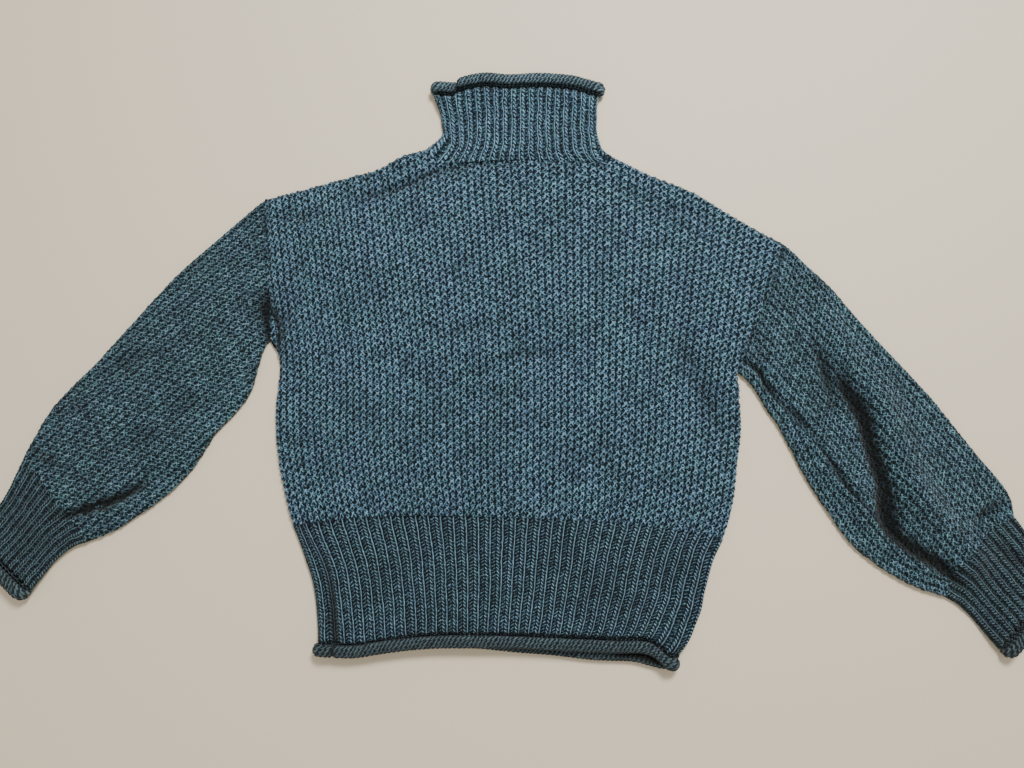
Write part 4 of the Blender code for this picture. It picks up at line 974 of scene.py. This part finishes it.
YARNS = {          # stitch, bump, fuzz, then position and colour of the yarn's pits, which is painted shade, of its middle and of its top
    "moss_knit": (MOSS, 0.0012, 1.4, (
        (0.22, (0.001, 0.006, 0.010)), (0.45, (0.043, 0.112, 0.170)), (0.91, (0.174, 0.314, 0.434)))),
    "sleeve_knit": (SLEEVE_MOSS, 0.0012, 1.1, (
        (0.26, (0.001, 0.005, 0.008)), (0.46, (0.040, 0.097, 0.131)), (0.92, (0.156, 0.274, 0.344)))),
    "rib_knit": (RIB, 0.0010, 1.1, (
        (0.25, (0.001, 0.005, 0.008)), (0.47, (0.028, 0.072, 0.106)), (0.90, (0.155, 0.276, 0.362)))),
    "collar_knit": (COLLAR_RIB, 0.0010, 1.4, (
        (0.22, (0.001, 0.006, 0.010)), (0.43, (0.048, 0.123, 0.184)), (0.90, (0.184, 0.330, 0.448)))),
    # a darker copy of the collar's yarn: painted shade for the dimmer light at the cuffs
    "cuff_knit_painted_shade": (COLLAR_RIB, 0.0010, 1.2, (
        (0.20, (0.001, 0.004, 0.006)), (0.48, (0.027, 0.062, 0.083)), (0.95, (0.102, 0.180, 0.222)))),
    "curled_knit": (CURL, 0.0010, 1.0, (
        (0.09, (0.003, 0.010, 0.015)), (0.50, (0.042, 0.078, 0.102)), (0.96, (0.130, 0.206, 0.255)))),
    # a darker copy of curled_knit: painted shade for the dimmer light at the hem and the cuffs
    "curled_knit_painted_shade": (CURL, 0.0010, 1.0, (
        (0.14, (0.003, 0.008, 0.011)), (0.52, (0.027, 0.050, 0.062)), (0.98, (0.082, 0.124, 0.146))))}


# ======== assembling
def place_object(obj, offset, material):
    obj.data.transform(Matrix.Translation(offset))
    obj.data.materials.append(material)


def make_jumper():
    """Builds every knitted piece at the place of its solid, gives it its material, hangs it under the root
    body and hides the solid.
    """
    left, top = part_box("front_hem_rib")[0].x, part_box("front_body")[1].y
    offset = (left - LEFT_SIDE[0][0], top - (RIGHT_SLOPE[0][1] - GAP), 0.0)
    # cuff and edge are darker copies of collar and curl: painted shade for the dimmer light at the cuffs and
    # the hem
    moss, sleeve, rib, collar, cuff, curl, edge = (knit_material(name, *YARNS[name]) for name in YARNS)

    front, back = make_body()
    hem_front, hem_back = make_hem()
    sleeve_left, sleeve_right, cuff_left, cuff_right, collar_tube = make_tubes()
    curl_front, curl_back = make_hem_rolls()
    curl_left = make_cuff_roll("cuff_left_curl", LEFT_CUFF, -1, 26.0)
    curl_right = make_cuff_roll("cuff_right_curl", RIGHT_CUFF, 1, 28.0)
    curl_collar = make_collar_roll()
    table = (         # piece, material, slot, node, flat size, flat area
        (front, moss, "moss_knit", "front_body", (0.62, 0.46), 0.246),
        (back, moss, "moss_knit", "back_body", (0.62, 0.46), 0.246),
        (hem_front, rib, "rib_knit", "front_hem_rib", (0.48, 0.13), 0.056),
        (hem_back, rib, "rib_knit", "back_hem_rib", (0.48, 0.13), 0.056),
        (sleeve_left, sleeve, "moss_knit", "sleeve_left", (0.36, 0.37), 0.118),
        (sleeve_right, sleeve, "moss_knit", "sleeve_right", (0.36, 0.38), 0.123),
        (cuff_left, cuff, "rib_knit", "cuff_left", (0.25, 0.085), 0.020),
        (cuff_right, cuff, "rib_knit", "cuff_right", (0.25, 0.085), 0.020),
        (collar_tube, collar, "rib_knit", "collar", (0.46, 0.095), 0.036),
        (curl_front, edge, "roll_knit", "front_hem_roll", (0.39, 0.040), 0.0150),
        (curl_back, edge, "roll_knit", "back_hem_roll", (0.42, 0.040), 0.0160),
        (curl_left, edge, "roll_knit", "cuff_roll_left", (0.20, 0.040), 0.0080),
        (curl_right, edge, "roll_knit", "cuff_roll_right", (0.22, 0.040), 0.0085),
        (curl_collar, curl, "roll_knit", "collar_roll", (0.41, 0.040), 0.0160))
    for obj, material, slot, node, flat, area in table:
        place_object(obj, offset, material)
        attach(obj, "root")
        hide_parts(node)
    return offset


# ======== floor, light and camera
def make_stage():
    bpy.ops.mesh.primitive_plane_add(size=8.0, location=(0, 0, 0))
    floor = bpy.context.object
    floor.name = "floor"
    material = bpy.data.materials.new("floor")
    material.use_nodes = True
    shader = material.node_tree.nodes["Principled BSDF"]
    shader.inputs["Base Color"].default_value = (0.84, 0.74, 0.58, 1)
    shader.inputs["Roughness"].default_value = 0.65
    floor.data.materials.append(material)


def add_light(name, place, target, size, power, colour):
    data = bpy.data.lights.new(name, "AREA")
    data.shape = "DISK"
    data.size = size
    data.energy = power
    data.color = colour
    light = bpy.data.objects.new(name, data)
    bpy.context.scene.collection.objects.link(light)
    back = np.array(place, float) - np.array(target, float)
    back /= np.linalg.norm(back)
    side = np.cross((0.0, 1.0, 0.0) if abs(back[1]) < 0.9 else (1.0, 0.0, 0.0), back)
    side /= np.linalg.norm(side)
    up = np.cross(back, side)
    light.matrix_world = Matrix.Translation(place) @ Matrix(np.column_stack([side, up, back])).to_4x4()


def make_light():
    world = bpy.data.worlds.new("studio")
    world.use_nodes = True
    background = world.node_tree.nodes["Background"]
    background.inputs["Color"].default_value = (1.0, 0.98, 0.95, 1)
    background.inputs["Strength"].default_value = 0.45
    bpy.context.scene.world = world
    add_light("key", (0.40, 0.95, 1.75), (0, 0, 0), 0.6, 42, (1.0, 0.98, 0.95))
    add_light("fill", (-0.5, -1.2, 2.2), (0, 0, 0), 1.6, 9, (1.0, 0.86, 0.62))


CAMERA_PLACE = (0.0028, 0.1273, 0.8805)      # in the outline's own X and Y
CAMERA_TILT, CAMERA_ROLL = 10.168, 2.406     # degrees


def make_camera(offset):
    """Held over the jumper's lower half, tipped towards the collar and turned a little."""
    data = bpy.data.cameras.new("camera")
    data.lens = 27.04
    data.sensor_width = 36.0
    data.clip_start = 0.05
    camera = bpy.data.objects.new("camera", data)
    bpy.context.scene.collection.objects.link(camera)
    tilt = Matrix.Rotation(math.radians(CAMERA_TILT), 4, "X")
    roll = Matrix.Rotation(math.radians(CAMERA_ROLL), 4, "Z")
    camera.matrix_world = Matrix.Translation(np.add(CAMERA_PLACE, offset)) @ tilt @ roll
    bpy.context.scene.camera = camera


shift = make_jumper()
make_stage()
make_light()
make_camera(shift)
